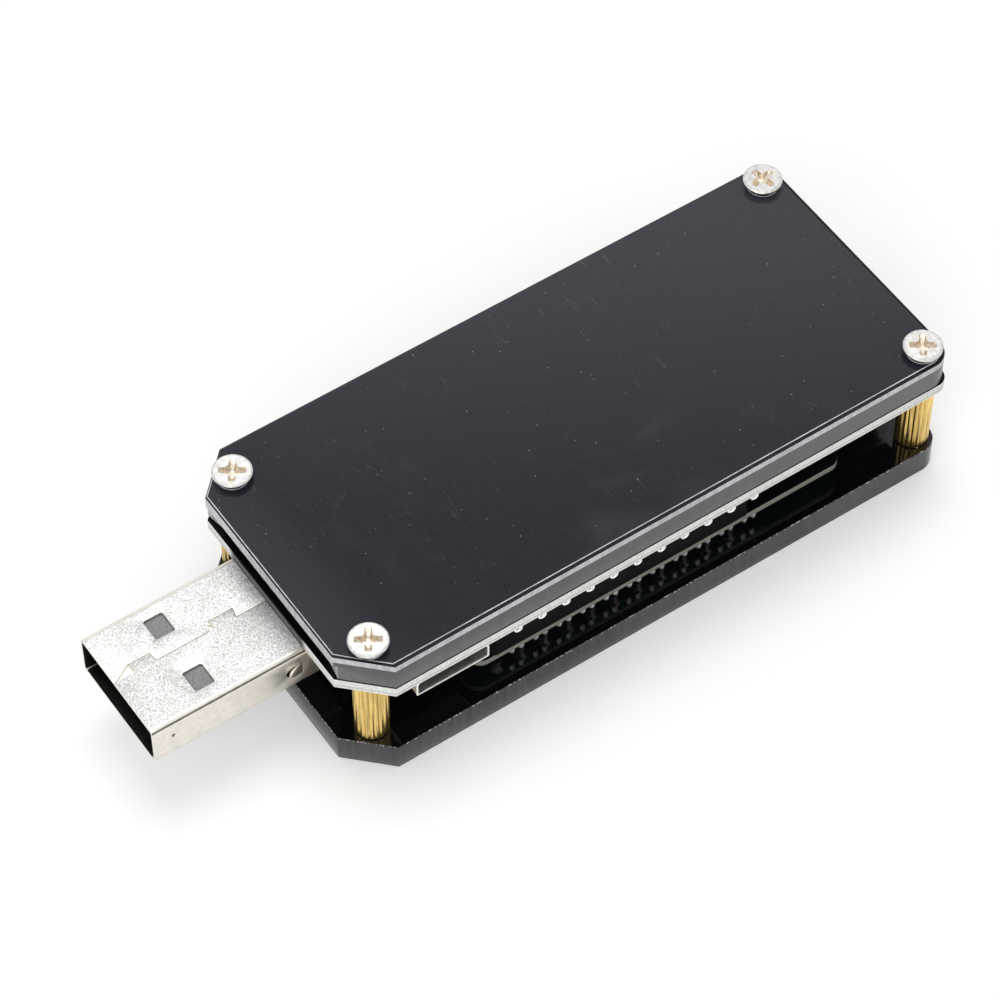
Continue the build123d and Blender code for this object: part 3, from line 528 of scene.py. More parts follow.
# Each finish is a function and what it is given after the name. A word is one of the colours in
# the user's settings.
FINISHES = {
    "satin_film": (film_face,),
    "film_rim": (film_rim,),
    "front_acrylic": (acrylic, "plate", 0.02, 0.06, 0.33),
    "panel_acrylic": (acrylic, (0.005, 0.005, 0.007), 0.10, 0.2, 0.25),
    "spacer_acrylic": (acrylic, (0.006, 0.006, 0.007), 0.08, 0.1),
    "panel_edge": (toned_edge, "panel_edge", 0.80, 1.22, 1900.0, 0.30, 4e-6, 0.35),
    # Painted light: the spacer's cut faces at the plug end, given the pale panel edge tones.
    "spacer_end": (toned_edge, "panel_edge", 0.86, 1.16, 1900.0, 0.32, 4e-6, 0.25),
    "spacer_edge": (toned_edge, "spacer_edge", 0.90, 1.10, 1300.0, 0.26, 2e-6, 0.0),
    "plate_edge": (toned_edge, "plate_edge", 0.55, 1.6, 1500.0, 0.22, 7e-6, 0.0),
    "spacer_arris": (cut_edge, (0.003, 0.003, 0.003), (0.012, 0.012, 0.013), 2200.0, 0.5, 5e-6,
                     0.02),
    "plate_arris": (cut_edge, (0.012, 0.012, 0.014), (0.05, 0.05, 0.055), 3000.0, 0.25, 1e-5, 0.7),
    "black_sheet": (plastic, (0.010, 0.010, 0.011), 0.6),
    "black_mask": (board_face, "black_mask", 0.10),
    "green_mask": (board_face, "green_mask", 0.40),
    "board_edge": (main_board_edge,),
    "display_board_edge": (display_board_edge,),
    "brass": (metal, "brass", 0.22, 5200.0, 5e-6, 0.34, (1.0, 1.0, 0.05)),
    "screw_nickel": (metal, "screw", 0.30, 2600.0, 5e-6, 0.16),
    "screw_recess": (metal, "recess", 0.30, 3800.0, 8e-6, 0.30),
    "grained_nickel": (metal, "nickel", 0.34, 8600.0, 9e-6, 0.50, None, 0.55),
    "smooth_nickel": (metal, "nickel_side", 0.32, 1500.0, 2e-6, 0.06),
    # Painted shade: the dark line along the plug's folds.
    "fold_line": (metal, (0.16, 0.15, 0.13), 0.30, 1500.0, 2e-6, 0.25),
    # Painted shade: the grey line where the plug's top is creased.
    "crease_line": (metal, (0.46, 0.45, 0.43), 0.40, 7500.0, 2e-6, 0.30),
    # Painted shade: the dark inside of the plug's nickel shell.
    "shell_inside": (metal, (0.016, 0.016, 0.015), 0.50, 1500.0, 2e-6, 0.20),
    # Painted shade: the micro socket's nickel, darker inside its mouth.
    "micro_inside": (metal, (0.42, 0.42, 0.40), 0.38, 1500.0, 2e-6, 0.20),
    "socket_nickel": (metal, (0.80, 0.80, 0.77), 0.26, 3000.0, 2e-6, 0.10),
    "micro_nickel": (metal, (0.88, 0.87, 0.82), 0.42, 4200.0, 2e-6, 0.12),
    "solder": (metal, (0.94, 0.94, 0.92), 0.44, 2800.0, 1e-5, 0.14),
    "gold": (metal, (0.88, 0.66, 0.28), 0.22, 3000.0, 2e-6, 0.10),
    "spring_steel": (metal, (0.62, 0.62, 0.61), 0.25, 3000.0, 2e-6, 0.10),
    "lead_tin": (metal, (0.72, 0.72, 0.71), 0.33, 3000.0, 3e-6, 0.12),
    "black_plastic": (plastic, "plastic"),
    # Black plastic, made darker than the rest as painted shade in the gap between the boards.
    "header_plastic": (plastic, (0.004, 0.004, 0.004), 0.6, 4200.0, 3e-6, 1.6, 0.05),
    "plug_plastic": (plastic, "plug_plastic", 0.4, 4200.0, 6e-6, 1.5),
    "button_plastic": (plastic, (0.014, 0.014, 0.015), 0.38, 5200.0, 5e-6, 2.0),
    "chip_case": (plastic, (0.022, 0.022, 0.024), 0.55, 6500.0, 8e-6, 2.2),
    "ferrite": (plastic, (0.045, 0.045, 0.050), 0.65, 3500.0, 1.4e-5, 2.0),
    "ceramic": (plastic, (0.38, 0.24, 0.12), 0.42, 4200.0, 3e-6, 1.2),
    "display_cell": (display_cell,),
    "clear_window": (clear_window,),
}


def material(name):
    """The finish of this name, made the first time it is asked for."""
    made = bpy.data.materials.get(name + "_finish")
    if made:
        return made
    maker, *values = FINISHES[name]
    return maker(name, *[getattr(finishes(), v) if isinstance(v, str) else v for v in values])


def dress(node, name):
    """Gives a CAD node that stays in view its finish, in the material slots that it has."""
    for slot in nodes[node].material_slots:
        slot.material = material(name)


# ---- mesh helpers --------------------------------------------------------------------------------
def publish(bm, name, finish_names, replaced, body=ROOT_BODY, smooth=25.0):
    """Turns a finished bmesh, worked in millimetres, into a piece that rides on a body."""
    bmesh.ops.scale(bm, vec=(MM, MM, MM), verts=bm.verts)
    mesh = bpy.data.meshes.new(name)
    bm.to_mesh(mesh)
    bm.free()
    piece = bpy.data.objects.new(name, mesh)
    bpy.context.scene.collection.objects.link(piece)
    for finish_name in finish_names:
        mesh.materials.append(material(finish_name))
    mesh.shade_smooth()
    mesh.set_sharp_from_angle(angle=radians(smooth))
    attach(piece, body)
    if replaced:
        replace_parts(piece, *replaced)
    return piece


def merged_copy(node):
    """A bmesh of a CAD node in millimetres, its loose triangles joined and flat faces made whole."""
    bm = bmesh.new()
    bm.from_mesh(nodes[node].data)
    bmesh.ops.scale(bm, vec=(1 / MM,) * 3, verts=bm.verts)
    bmesh.ops.remove_doubles(bm, verts=bm.verts, dist=0.0005)
    bmesh.ops.dissolve_limit(bm, angle_limit=radians(0.5), use_dissolve_boundaries=False,
                             verts=bm.verts, edges=bm.edges)
    return bm


def islands(node):
    """The box of each separate solid in a CAD node, in millimetres, ordered along X and then Y."""
    bm = merged_copy(node)
    left = set(bm.verts)
    boxes = []
    while left:
        group, front = set(), [left.pop()]
        while front:
            vert = front.pop()
            group.add(vert)
            for edge in vert.link_edges:
                other = edge.other_vert(vert)
                if other in left:
                    left.discard(other)
                    front.append(other)
        low = Vector([min(v.co[i] for v in group) for i in range(3)])
        high = Vector([max(v.co[i] for v in group) for i in range(3)])
        boxes.append((low, high))
    bm.free()
    return sorted(boxes, key=lambda b: (round(b[0].x, 2), round(b[0].y, 2)))


def middle(box):
    return (box[0] + box[1]) / 2


def sharp_edges(bm, angle=40.0):
    return [e for e in bm.edges
            if len(e.link_faces) == 2 and e.calc_face_angle() > radians(angle)]


def rounded_corners(bm, verts, offset, segments):
    bmesh.ops.bevel(bm, geom=verts, offset=offset, offset_type="OFFSET", segments=segments,
                    profile=0.5, affect="VERTICES", clamp_overlap=True, material=-1)


def open_outline(bm):
    """Takes out the only face and returns the edges that were round it."""
    face = bm.faces[:][0]
    edges = list(face.edges)
    bmesh.ops.delete(bm, geom=[face], context="FACES_ONLY")
    return edges


def block(size, centre):
    bm = bmesh.new()
    bmesh.ops.create_cube(bm, size=1.0)
    bmesh.ops.scale(bm, vec=size, verts=bm.verts)
    bmesh.ops.translate(bm, vec=centre, verts=bm.verts)
    return bm


def break_edges(bm, width, edges=None, segments=2):
    """Bevels the sharp edges and returns the new faces."""
    chosen = sharp_edges(bm) if edges is None else edges
    result = bmesh.ops.bevel(bm, geom=chosen, offset=width, offset_type="OFFSET", segments=segments,
                             profile=0.5, affect="EDGES", clamp_overlap=True, material=-1)
    return result["faces"]


def mark_sides(bm):
    """Upright faces get the finish of the cut side."""
    for face in bm.faces:
        if abs(face.normal.z) < 0.5:
            face.material_index = 1


def mark_arrises(faces, index):
    """The broken edges of the two faces get their own finish, the upright ones the cut side's."""
    for face in faces:
        face.normal_update()
        face.material_index = index if abs(face.normal.z) > 0.3 else 1


def plate_piece(node, name, finish_names, arris, arris_index=1):
    """A plate with its edges broken: face, cut side and arris each have a finish."""
    bm = merged_copy(node)
    mark_sides(bm)
    mark_arrises(break_edges(bm, arris), arris_index)
    return publish(bm, name, finish_names, [node])


def softened(node, name, finish_name, width=0.06, segments=2, body=ROOT_BODY):
    """A copy of a small CAD node with its edges rounded."""
    bm = merged_copy(node)
    break_edges(bm, width, segments=segments)
    return publish(bm, name, [finish_name], [node], body)


def closed_run(bm, points):
    """A closed run of edges through the points."""
    verts = [bm.verts.new(p) for p in points]
    return [bm.edges.new((verts[i - 1], verts[i])) for i in range(len(verts))]


def circle_run(bm, radius, z, count, centre=(0.0, 0.0)):
    return closed_run(bm, [(centre[0] + radius * cos(2 * pi * i / count),
                            centre[1] + radius * sin(2 * pi * i / count), z) for i in range(count)])


def pulled(bm, edges):
    """Extrudes the edges and returns the new edges and the new vertices."""
    made = bmesh.ops.extrude_edge_only(bm, edges=edges)["geom"]
    verts = [g for g in made if isinstance(g, bmesh.types.BMVert)]
    return [g for g in made if isinstance(g, bmesh.types.BMEdge)
            and all(v in verts for v in g.verts)], verts


def turned(bm, edges, steps):
    """Pulls a round run of edges through (radius, z) steps, as on a lathe."""
    for radius, z in steps:
        edges, verts = pulled(bm, edges)
        for vert in verts:
            reach = hypot(vert.co.x, vert.co.y)
            vert.co.x *= radius / reach
            vert.co.y *= radius / reach
            vert.co.z = z
    return edges


def lid(bm, edges):
    """Closes a run of edges with one face."""
    return bmesh.ops.edgeloop_fill(bm, edges=edges)["faces"]


def tidy(bm):
    bmesh.ops.remove_doubles(bm, verts=bm.verts, dist=0.0005)
    bmesh.ops.recalc_face_normals(bm, faces=bm.faces)


def stamped(source, places):
    """Copies of one bmesh, each put in its place, in a new bmesh."""
    mesh = bpy.data.meshes.new("stamp")
    source.to_mesh(mesh)
    source.free()
    result = bmesh.new()
    for place in places:
        start = len(result.verts)
        result.from_mesh(mesh)
        result.verts.ensure_lookup_table()
        bmesh.ops.transform(result, matrix=place, verts=result.verts[start:])
    bpy.data.meshes.remove(mesh)
    return result


def at(x, y, z, turn):
    return Matrix.Translation((x, y, z)) @ Matrix.Rotation(turn, 4, "Z")


# ---- plates --------------------------------------------------------------------------------------
class METER_OT_plates(bpy.types.Operator):
    """Front plate, spacer, back panel, insulating sheet and cover film"""
    bl_idname = "meter.plates"
    bl_label = "Plates"

    def execute(self, context):
        arris = shapes().plate_arris
        plate_piece("front_plate", "front_plate_polished",
                    ["front_acrylic", "plate_edge", "plate_arris"], arris * 0.7, 2)
        self.spacer(arris * 0.9)
        plate_piece("back_panel", "back_panel_sheet",
                    ["panel_acrylic", "panel_edge"], arris * 0.5)
        self.film()
        dress("insulating_sheet", "black_sheet")
        return {"FINISHED"}

    def spacer(self, arris):
        """The ring, with the pale edge finish on its faces at the open mouth, as painted light on
        those cut faces.
        """
        bm = merged_copy("spacer_frame")
        mouth = min(v.co.x for v in bm.verts) + 0.8
        mark_sides(bm)
        mark_arrises(break_edges(bm, arris), 2)
        # Faces at the open mouth get the pale finish: painted light on the spacer's cut edge.
        for face in bm.faces:
            if face.normal.x < -0.5 and face.calc_center_median().x < mouth:
                face.material_index = 3
        publish(bm, "spacer_ring", ["spacer_acrylic", "spacer_edge", "spacer_arris", "spacer_end"],
                ["spacer_frame"])

    def film(self):
        """The film, with a pale line painted as a highlight along its cut edge."""
        bm = merged_copy("cover_film")
        mark_sides(bm)
        top = [face for face in bm.faces if face.normal.z > 0.9]
        rim = bmesh.ops.inset_region(bm, faces=top, thickness=shapes().film_rim,
                                     use_even_offset=True)
        for face in rim["faces"]:
            face.material_index = 1
        publish(bm, "cover_film_sheet", ["satin_film", "film_rim"], ["cover_film"])


class METER_OT_boards(bpy.types.Operator):
    """Main board and display board, with pale cut edges"""
    bl_idname = "meter.boards"
    bl_label = "Circuit boards"

    def execute(self, context):
        # The main board's black lacquer also stands as painted shade in the gap below it.
        plate_piece("main_board", "main_board_laminate", ["black_mask", "board_edge"],
                    0.04)
        bm = merged_copy("display_board")
        mark_sides(bm)
        for face in break_edges(bm, 0.03):
            face.material_index = 1
        # Faces not turned down keep the black finish: painted shade on the display board's top,
        # which lies in shadow under the main board; only its underside is green.
        for face in bm.faces:
            if face.normal.z < -0.5:
                face.material_index = 2
        publish(bm, "display_board_laminate", ["black_mask", "display_board_edge", "green_mask"],
                ["display_board"])
        return {"FINISHED"}


class METER_OT_standoffs(bpy.types.Operator):
    """Four brass standoffs with a straight knurl"""
    bl_idname = "meter.standoffs"
    bl_label = "Standoffs"

    def execute(self, context):
        s = shapes()
        boxes = islands("standoffs")
        low, high = boxes[0]
        radius = (high.x - low.x) / 2
        height = high.z - low.z
        ridge = (0.0, 0.0, 0.0, 0.55, 1.0, 0.55)
        count = s.knurl_count * len(ridge)
        depths = [radius - s.knurl_depth * ridge[i % len(ridge)] for i in range(count)]
        curve = s.standoff_chamfer
        bm = bmesh.new()
        outer = circle_run(bm, radius, 0.0, count)
        for vert in bm.verts:
            vert.co *= (radius - curve) / radius
        inner = circle_run(bm, 1.0, 0.0, 40)
        bmesh.ops.triangle_fill(bm, edges=outer + inner, use_beauty=True)
        rounding = [(radius - curve + curve * sin(a), curve * (1 - cos(a)))
                    for a in (0.4, 0.8, 1.2, pi / 2)]
        levels = rounding + [(reach, height - z) for reach, z in reversed(rounding)]
        for reach, z in levels + [(radius - curve, height)]:
            outer, verts = pulled(bm, outer)
            for vert in verts:
                turn = atan2(vert.co.y, vert.co.x) % (2 * pi)
                limit = depths[round(turn / (2 * pi) * count) % count]
                factor = min(reach, limit) / hypot(vert.co.x, vert.co.y)
                vert.co.x *= factor
                vert.co.y *= factor
                vert.co.z = z
        inner, verts = pulled(bm, inner)
        for vert in verts:
            vert.co.z = height
        bmesh.ops.triangle_fill(bm, edges=outer + inner, use_beauty=True)
        tidy(bm)
        places = [at(middle(b).x, middle(b).y, low.z, 0.3 * i) for i, b in enumerate(boxes)]
        publish(stamped(bm, places), "knurled_standoffs", ["brass"], ["standoffs"])
        return {"FINISHED"}


DRAWN_HEAD_RADIUS = 1.83        # of the head that the recess sizes are given for
SCREW_SHANK = 0.95              # radius
SCREW_LAND = 0.27               # height of the head's upright side


def recess_outline(bm, half, reach, corner):
    """The four-winged outline of a cross recess, its corners rounded."""
    tip = half * 0.76
    corners = []
    for turn in range(4):
        spin = Matrix.Rotation(turn * pi / 2, 3, "Z")
        corners += [spin @ Vector(p) for p in ((tip, reach, 0), (-tip, reach, 0), (-half, half, 0))]
    face = bm.faces.new([bm.verts.new(p) for p in corners])
    inner = [v for v in face.verts if hypot(v.co.x, v.co.y) < reach * 0.8]
    tips = [v for v in face.verts if v not in inner]
    rounded_corners(bm, inner, corner, 5)
    rounded_corners(bm, tips, 0.07, 2)
    return open_outline(bm)


def screw_blank(box):
    """A countersunk screw the size of the box, its flat top with a cross recess at Z = 0."""
    s = shapes()
    low, high = box
    radius, total = (high.x - low.x) / 2, high.z - low.z
    size = radius / DRAWN_HEAD_RADIUS
    half = s.recess_width / 2 * size
    reach = s.recess_length / 2 * size
    bm = bmesh.new()
    walls = recess_outline(bm, half, reach, 0.27 * size)
    rim = circle_run(bm, radius - 0.21, 0.0, 64)
    bmesh.ops.triangle_fill(bm, edges=walls + rim, use_beauty=True)
    top = set(bm.faces)
    for depth, narrow, side in ((0.05, 0.98, 0.98), (s.recess_depth * 0.55, 0.76, 0.84),
                                (s.recess_depth, 0.50, 0.62)):
        walls, verts = pulled(bm, walls)
        for vert in verts:
            away = hypot(vert.co.x, vert.co.y)
            share = (away - half) / (reach - half)
            factor = side + (narrow - side) * max(0.0, min(1.0, share))
            vert.co.x *= factor
            vert.co.y *= factor
            vert.co.z = -depth
    bmesh.ops.triangle_fill(bm, edges=walls, use_beauty=True)
    for face in set(bm.faces) - top:
        face.material_index = 1
    groove = ((radius - 0.195, -0.035), (radius - 0.155, -0.035), (radius - 0.14, -0.006))
    head = ((radius - 0.03, -0.06), (radius, -0.11), (radius, -SCREW_LAND))
    shank = ((SCREW_SHANK, -SCREW_LAND - (radius - SCREW_SHANK)), (SCREW_SHANK, -total + 0.24),
             (SCREW_SHANK - 0.24, -total))
    lid(bm, turned(bm, rim, groove + head + shank))
    tidy(bm)
    return bm


class METER_OT_back_screws(bpy.types.Operator):
    """Four back screws, their heads proud of the panel"""
    bl_idname = "meter.back_screws"
    bl_label = "Back screws"

    def execute(self, context):
        s = shapes()
        boxes = islands("back_screws")
        turns = [s.recess_turn + 0.03, s.recess_turn, s.recess_turn - 0.02, s.odd_recess_turn]
        places = [at(middle(b).x, middle(b).y, b[1].z, t) for b, t in zip(boxes, turns)]
        publish(stamped(screw_blank(boxes[0]), places), "back_panel_screws",
                ["screw_nickel", "screw_recess"], ["back_screws"])
        return {"FINISHED"}


class METER_OT_front_screws(bpy.types.Operator):
    """Four smaller screws, flush in the front plate"""
    bl_idname = "meter.front_screws"
    bl_label = "Front screws"

    def execute(self, context):
        boxes = islands("front_screws")
        flip = Matrix.Rotation(pi, 4, "X")
        places = [at(middle(b).x, middle(b).y, b[0].z, 0.4 + 0.7 * i) @ flip
                  for i, b in enumerate(boxes)]
        publish(stamped(screw_blank(boxes[0]), places), "front_plate_screws",
                ["screw_nickel", "screw_recess"], ["front_screws"])
        return {"FINISHED"}


# ---- folded shells -------------------------------------------------------------------------------
FOLD_EDGE = 0.07                # width of the strip kept flat beside a fold


class FoldedTube:
    """A sheet drawn flat, X along the tube and V round it from the seam on top, then folded up."""

    def __init__(self, low, high, radius, seam_y):
        self.low, self.high, self.radius, self.seam_y = low, high, radius, seam_y
        self.arc = arc = radius * pi / 2
        across = high.y - low.y - 2 * radius
        upright = high.z - low.z - 2 * radius
        first = high.y - radius - seam_y
        self.marks = [0.0]
        for part in (first, arc, upright, arc, across, arc, upright, arc, across - first):
            self.marks.append(self.marks[-1] + part)
        self.total = self.marks[-1]

    def v_top(self, y, left):
        """V of a point on top: measured from one end of the sheet or the other."""
        return y - self.seam_y + (self.total if left else 0.0)

    def v_bottom(self, y):
        return self.marks[4] + (self.high.y - self.radius - y)

    def v_near_side(self, z):
        return self.marks[6] + (z - self.low.z - self.radius)

    def v_far_side(self, z):
        return self.marks[2] + (self.high.z - self.radius - z)

    def folds(self, steps=4):
        """Where the sheet is cut to bend: along each fold, and beside it to keep the flats flat."""
        cuts = [mark + (FOLD_EDGE if index % 2 == 0 else -FOLD_EDGE)
                for index, mark in enumerate(self.marks) if 0 < index < 9]
        for index in (1, 3, 5, 7):
            cuts += [self.marks[index] + self.arc * i / steps for i in range(steps + 1)]
        return cuts

    def place(self, x, v):
        """The point on the folded tube's outside."""
        r, lo, hi, m = self.radius, self.low, self.high, self.marks
        if v <= m[1]:
            return Vector((x, self.seam_y + v, hi.z))
        if v >= m[8]:
            return Vector((x, lo.y + r + (v - m[8]), hi.z))
        corners = {1: (hi.y - r, hi.z - r, pi / 2), 3: (hi.y - r, lo.z + r, 0.0),
                   5: (lo.y + r, lo.z + r, -pi / 2), 7: (lo.y + r, hi.z - r, -pi)}
        for index, (cy, cz, start) in corners.items():
            if m[index] <= v <= m[index + 1]:
                angle = start - (v - m[index]) / r
                return Vector((x, cy + r * cos(angle), cz + r * sin(angle)))
        if v < m[3]:
            return Vector((x, hi.y, hi.z - r - (v - m[2])))
        if v < m[5]:
            return Vector((x, hi.y - r - (v - m[4]), lo.z))
        return Vector((x, lo.y, lo.z + r + (v - m[6])))

    def fold(self, bm):
        for cut in self.folds():
            bmesh.ops.bisect_plane(bm, geom=bm.verts[:] + bm.edges[:] + bm.faces[:], dist=1e-5,
                                   plane_co=(0, cut, 0), plane_no=(0, 1, 0))
        for vert in bm.verts:
            vert.co = self.place(vert.co.x, vert.co.y)
        tidy(bm)


def rounded_rectangle(bm, x, v, half_x, half_v, radius, segments=3):
    points = []
    for sx, sv, start in ((1, 1, 0.0), (-1, 1, pi / 2), (-1, -1, pi), (1, -1, 3 * pi / 2)):
        for i in range(segments + 1):
            angle = start + i * pi / 2 / segments
            points.append((x + sx * (half_x - radius) + radius * cos(angle),
                           v + sv * (half_v - radius) + radius * sin(angle), 0.0))
    return closed_run(bm, points)


def thicken(bm, wall, centre, index):
    """Turns a tube's faces away from its axis, then gives it its wall, inwards. The tube's other
    axes are Z and the one with this index."""
    score = sum(f.normal[index] * (f.calc_center_median() - centre)[index]
                + f.normal.z * (f.calc_center_median() - centre).z for f in bm.faces)
    if score < 0:
        bmesh.ops.reverse_faces(bm, faces=bm.faces)
    bmesh.ops.solidify(bm, geom=bm.faces[:], thickness=wall)


def join(bm, part, index):
    """Adds the part to the mesh, with one finish for all its faces."""
    for face in part.faces:
        face.material_index = index
    mesh = bpy.data.meshes.new("part")
    part.to_mesh(mesh)
    part.free()
    bm.from_mesh(mesh)
    bpy.data.meshes.remove(mesh)


PLUG_WALL = 0.3
PLUG_CORNER = 0.5
DOVETAIL = 0.98                 # how far the seam's teeth reach sideways
WINDOW_HALF = (0.975, 1.15)


class METER_OT_plug(bpy.types.Operator):
    """USB plug: a folded shell with a dovetailed seam, windows and spring ears, and its core"""
    bl_idname = "meter.plug"
    bl_label = "USB plug"

    def execute(self, context):
        low, high = node_box("plug_shell")
        high.z = node_box("main_board")[0].z
        centre = (low + high) / 2
        tube = FoldedTube(low, high, PLUG_CORNER, centre.y + 0.32)
        ear_x, ear_z = high.x - 4.53, low.z + 2.2
        bm = bmesh.new()
        edges = self.seam(bm, tube) + self.openings(bm, tube, centre.y)
        for v, side in ((tube.v_near_side(ear_z), 1), (tube.v_far_side(ear_z), -1)):
            edges += closed_run(bm, [(ear_x + 0.80 - 1.65 * sin(pi * i / 12),
                                      v - side * 0.76 * cos(pi * i / 12), 0.0) for i in range(13)])
        bmesh.ops.triangle_fill(bm, edges=edges, use_beauty=True)
        tube.fold(bm)
        thicken(bm, PLUG_WALL, centre, 1)
        for face in break_edges(bm, 0.05, sharp_edges(bm, 50.0)):
            face.material_index = 1
        self.paint(bm, centre, (high - low) / 2)
        strip = block((10.6, 1.5, 0.12), (low.x + 5.6, centre.y + 0.82, high.z - 0.26))
        join(bm, strip, 1)      # pressed up under the seam, and seen through its two notches
        self.add_ears(bm, low, high, ear_x, ear_z)
        self.add_tabs(bm, low, high)
        publish(bm, "plug_folded_shell", ["grained_nickel", "smooth_nickel", "fold_line",
                                          "shell_inside", "crease_line"],
                ["plug_shell"])
        softened("plug_core", "plug_tongue", "plug_plastic", 0.05)
        dress("plug_contacts", "gold")
        return {"FINISHED"}

    def seam(self, bm, tube):
        """The sheet's outline: two straight ends, and the two flaps that meet in the seam."""
        gap = shapes().seam_gap / 2
        start, end = tube.low.x, tube.high.x - tube.low.x
        far, near = DOVETAIL + gap, DOVETAIL - gap
        far_flap = [(0.0, gap), (0.25, gap), (2.0 - gap, far), (4.11 + gap, far), (4.24 + gap, gap),
                    (9.73, gap), (9.77, 0.70), (10.03 - gap, 0.42), (10.0 - gap, far),
                    (12.53 + gap, far), (12.34 + gap, gap), (end, gap)]
        near_flap = [(0.0, -gap), (2.05 + gap, -gap), (2.0 + gap, near), (4.11 - gap, near),
                     (4.24 - gap, -gap), (10.07 + gap, -gap), (10.0 + gap, near),
                     (12.53 - gap, near), (12.34 - gap, -gap), (end, -gap)]
        points = [(start + x, v, 0.0) for x, v in far_flap]
        return closed_run(bm, points + [(start + x, tube.total + v, 0.0)
                                        for x, v in reversed(near_flap)])

    def openings(self, bm, tube, centre_y):
        """Two windows above and two below, and a small round hole in each side."""
        edges = []
        for y, left in ((centre_y + 3.25, False), (centre_y - 3.25, True)):
            for v in (tube.v_top(y, left), tube.v_bottom(y)):
                edges += rounded_rectangle(bm, tube.low.x + 6.3, v, *WINDOW_HALF,
                                           shapes().window_corner)
        hole_z = tube.low.z + 2.6
        for v in (tube.v_near_side(hole_z), tube.v_far_side(hole_z)):
            edges += circle_run(bm, 0.17, 0.0, 16, (tube.low.x + 1.99, v))
        return edges

    def paint(self, bm, centre, half):
        """Grained above and below, smooth on the folds and sides, with painted shade: dark inside,
        and fine lines where the top is creased and where the sides begin."""
        flat = half.y - PLUG_CORNER
        for face in bm.faces:
            steep = abs(face.normal.z)
            away = face.calc_center_median() - centre
            # Faces looking in get the dark finish: painted shade inside the shell.
            if self.faces_in(face.normal, away, half):
                face.material_index = 3
            # The strip beside each top fold gets a grey painted shade line.
            elif face.normal.z > 0.99 and 0.0 < abs(away.y) - (flat - FOLD_EDGE) < FOLD_EDGE:
                face.material_index = 4
            elif face.normal.z > 0.75 and abs(away.y) > flat:
                face.material_index = 1
            # The steep part of each fold gets a dark painted shade line.
            elif 0.35 < steep < 0.75 and abs(away.y) > flat:
                face.material_index = 2
            elif steep < 0.9:
                face.material_index = 1

    def faces_in(self, normal, away, half):
        """Whether a face of the tube looks towards its axis."""
        side, rise = away.y / half.y, away.z / half.z
        return (normal.z * rise < -0.3) if abs(rise) > abs(side) else (normal.y * side < -0.3)

    def add_ears(self, bm, low, high, ear_x, ear_z):
        """A half-round ear lanced out of each side, hinged at its rear."""
        for y, side in ((low.y, -1), (high.y, 1)):
            part = bmesh.new()
            arc = [(ear_x + 0.78 - 1.45 * sin(pi * i / 12), y, ear_z - 0.70 * cos(pi * i / 12))
                   for i in range(13)]
            face = part.faces.new([part.verts.new(p) for p in arc])
            result = bmesh.ops.extrude_face_region(part, geom=[face])
            verts = [g for g in result["geom"] if isinstance(g, bmesh.types.BMVert)]
            bmesh.ops.translate(part, vec=(0, -side * 0.2, 0), verts=verts)
            tidy(part)
            break_edges(part, 0.04)
            lean = Matrix.Rotation(-side * radians(13), 4, "Z")
            hinge = Matrix.Translation((ear_x + 0.78, y, ear_z))
            bmesh.ops.transform(part, matrix=hinge @ lean @ hinge.inverted(), verts=part.verts)
            join(bm, part, 1)

    def add_tabs(self, bm, low, high):
        """The two tabs that stand through the board."""
        top = node_box("plug_shell")[1].z
        for y in (low.y + PLUG_WALL / 2, high.y - PLUG_WALL / 2):
            part = block((1.6, PLUG_WALL, top - high.z + 0.5),
                         (high.x - 1.5, y, (top + high.z - 0.5) / 2))
            break_edges(part, 0.06)
            join(bm, part, 1)


class METER_OT_socket(bpy.types.Operator):
    """USB socket at the other end: its shell, tongue and contacts"""
    bl_idname = "meter.socket"
    bl_label = "USB socket"

    def execute(self, context):
        softened("socket_shell", "socket_folded_shell", "socket_nickel", 0.06)
        softened("socket_core", "socket_tongue", "black_plastic", 0.08)
        dress("socket_contacts", "gold")
        return {"FINISHED"}


class METER_OT_micro_socket(bpy.types.Operator):
    """Micro USB socket: a folded shell with a flared mouth, its tongue and contacts"""
    bl_idname = "meter.micro_socket"
    bl_label = "Micro USB socket"

    def execute(self, context):
        low, high = node_box("micro_shell")
        centre = Vector(((low.x + high.x) / 2, 0, (low.z + high.z) / 2))
        half = (high.x - low.x) / 2
        cut = 0.9
        flare = shapes().lip_flare
        bm = bmesh.new()
        corners = ((-half, low.z), (half, low.z), (half, high.z - cut), (half - cut, high.z),
                   (cut - half, high.z), (-half, high.z - cut))
        face = bm.faces.new([bm.verts.new((centre.x + x, 0, z)) for x, z in corners])
        rounded_corners(bm, list(face.verts), 0.22, 4)
        edges = open_outline(bm)
        bmesh.ops.translate(bm, vec=(0, high.y, 0), verts=bm.verts)
        for y, grow in ((low.y + 0.45, 0.0), (low.y + 0.18, 0.35), (low.y, 1.0)):
            edges, verts = pulled(bm, edges)
            for vert in verts:
                vert.co.y = y
                away = vert.co.x - centre.x
                vert.co.x += grow * flare * (1 if away > 0 else -1) * min(1.0, abs(away) / half)
                if vert.co.z < centre.z:
                    vert.co.z -= grow * flare
        tidy(bm)
        thicken(bm, 0.2, centre, 0)
        # Inner faces get the darker nickel as painted shade.
        for face in bm.faces:
            away = face.calc_center_median() - centre
            if face.normal.x * away.x + face.normal.z * away.z < -0.1:
                face.material_index = 1
        for face in break_edges(bm, 0.05, sharp_edges(bm, 55.0)):
            face.material_index = 0
        publish(bm, "micro_socket_shell", ["micro_nickel", "micro_inside"], ["micro_shell"])
        softened("micro_core", "micro_tongue", "black_plastic", 0.04)
        dress("micro_contacts", "gold")
        return {"FINISHED"}


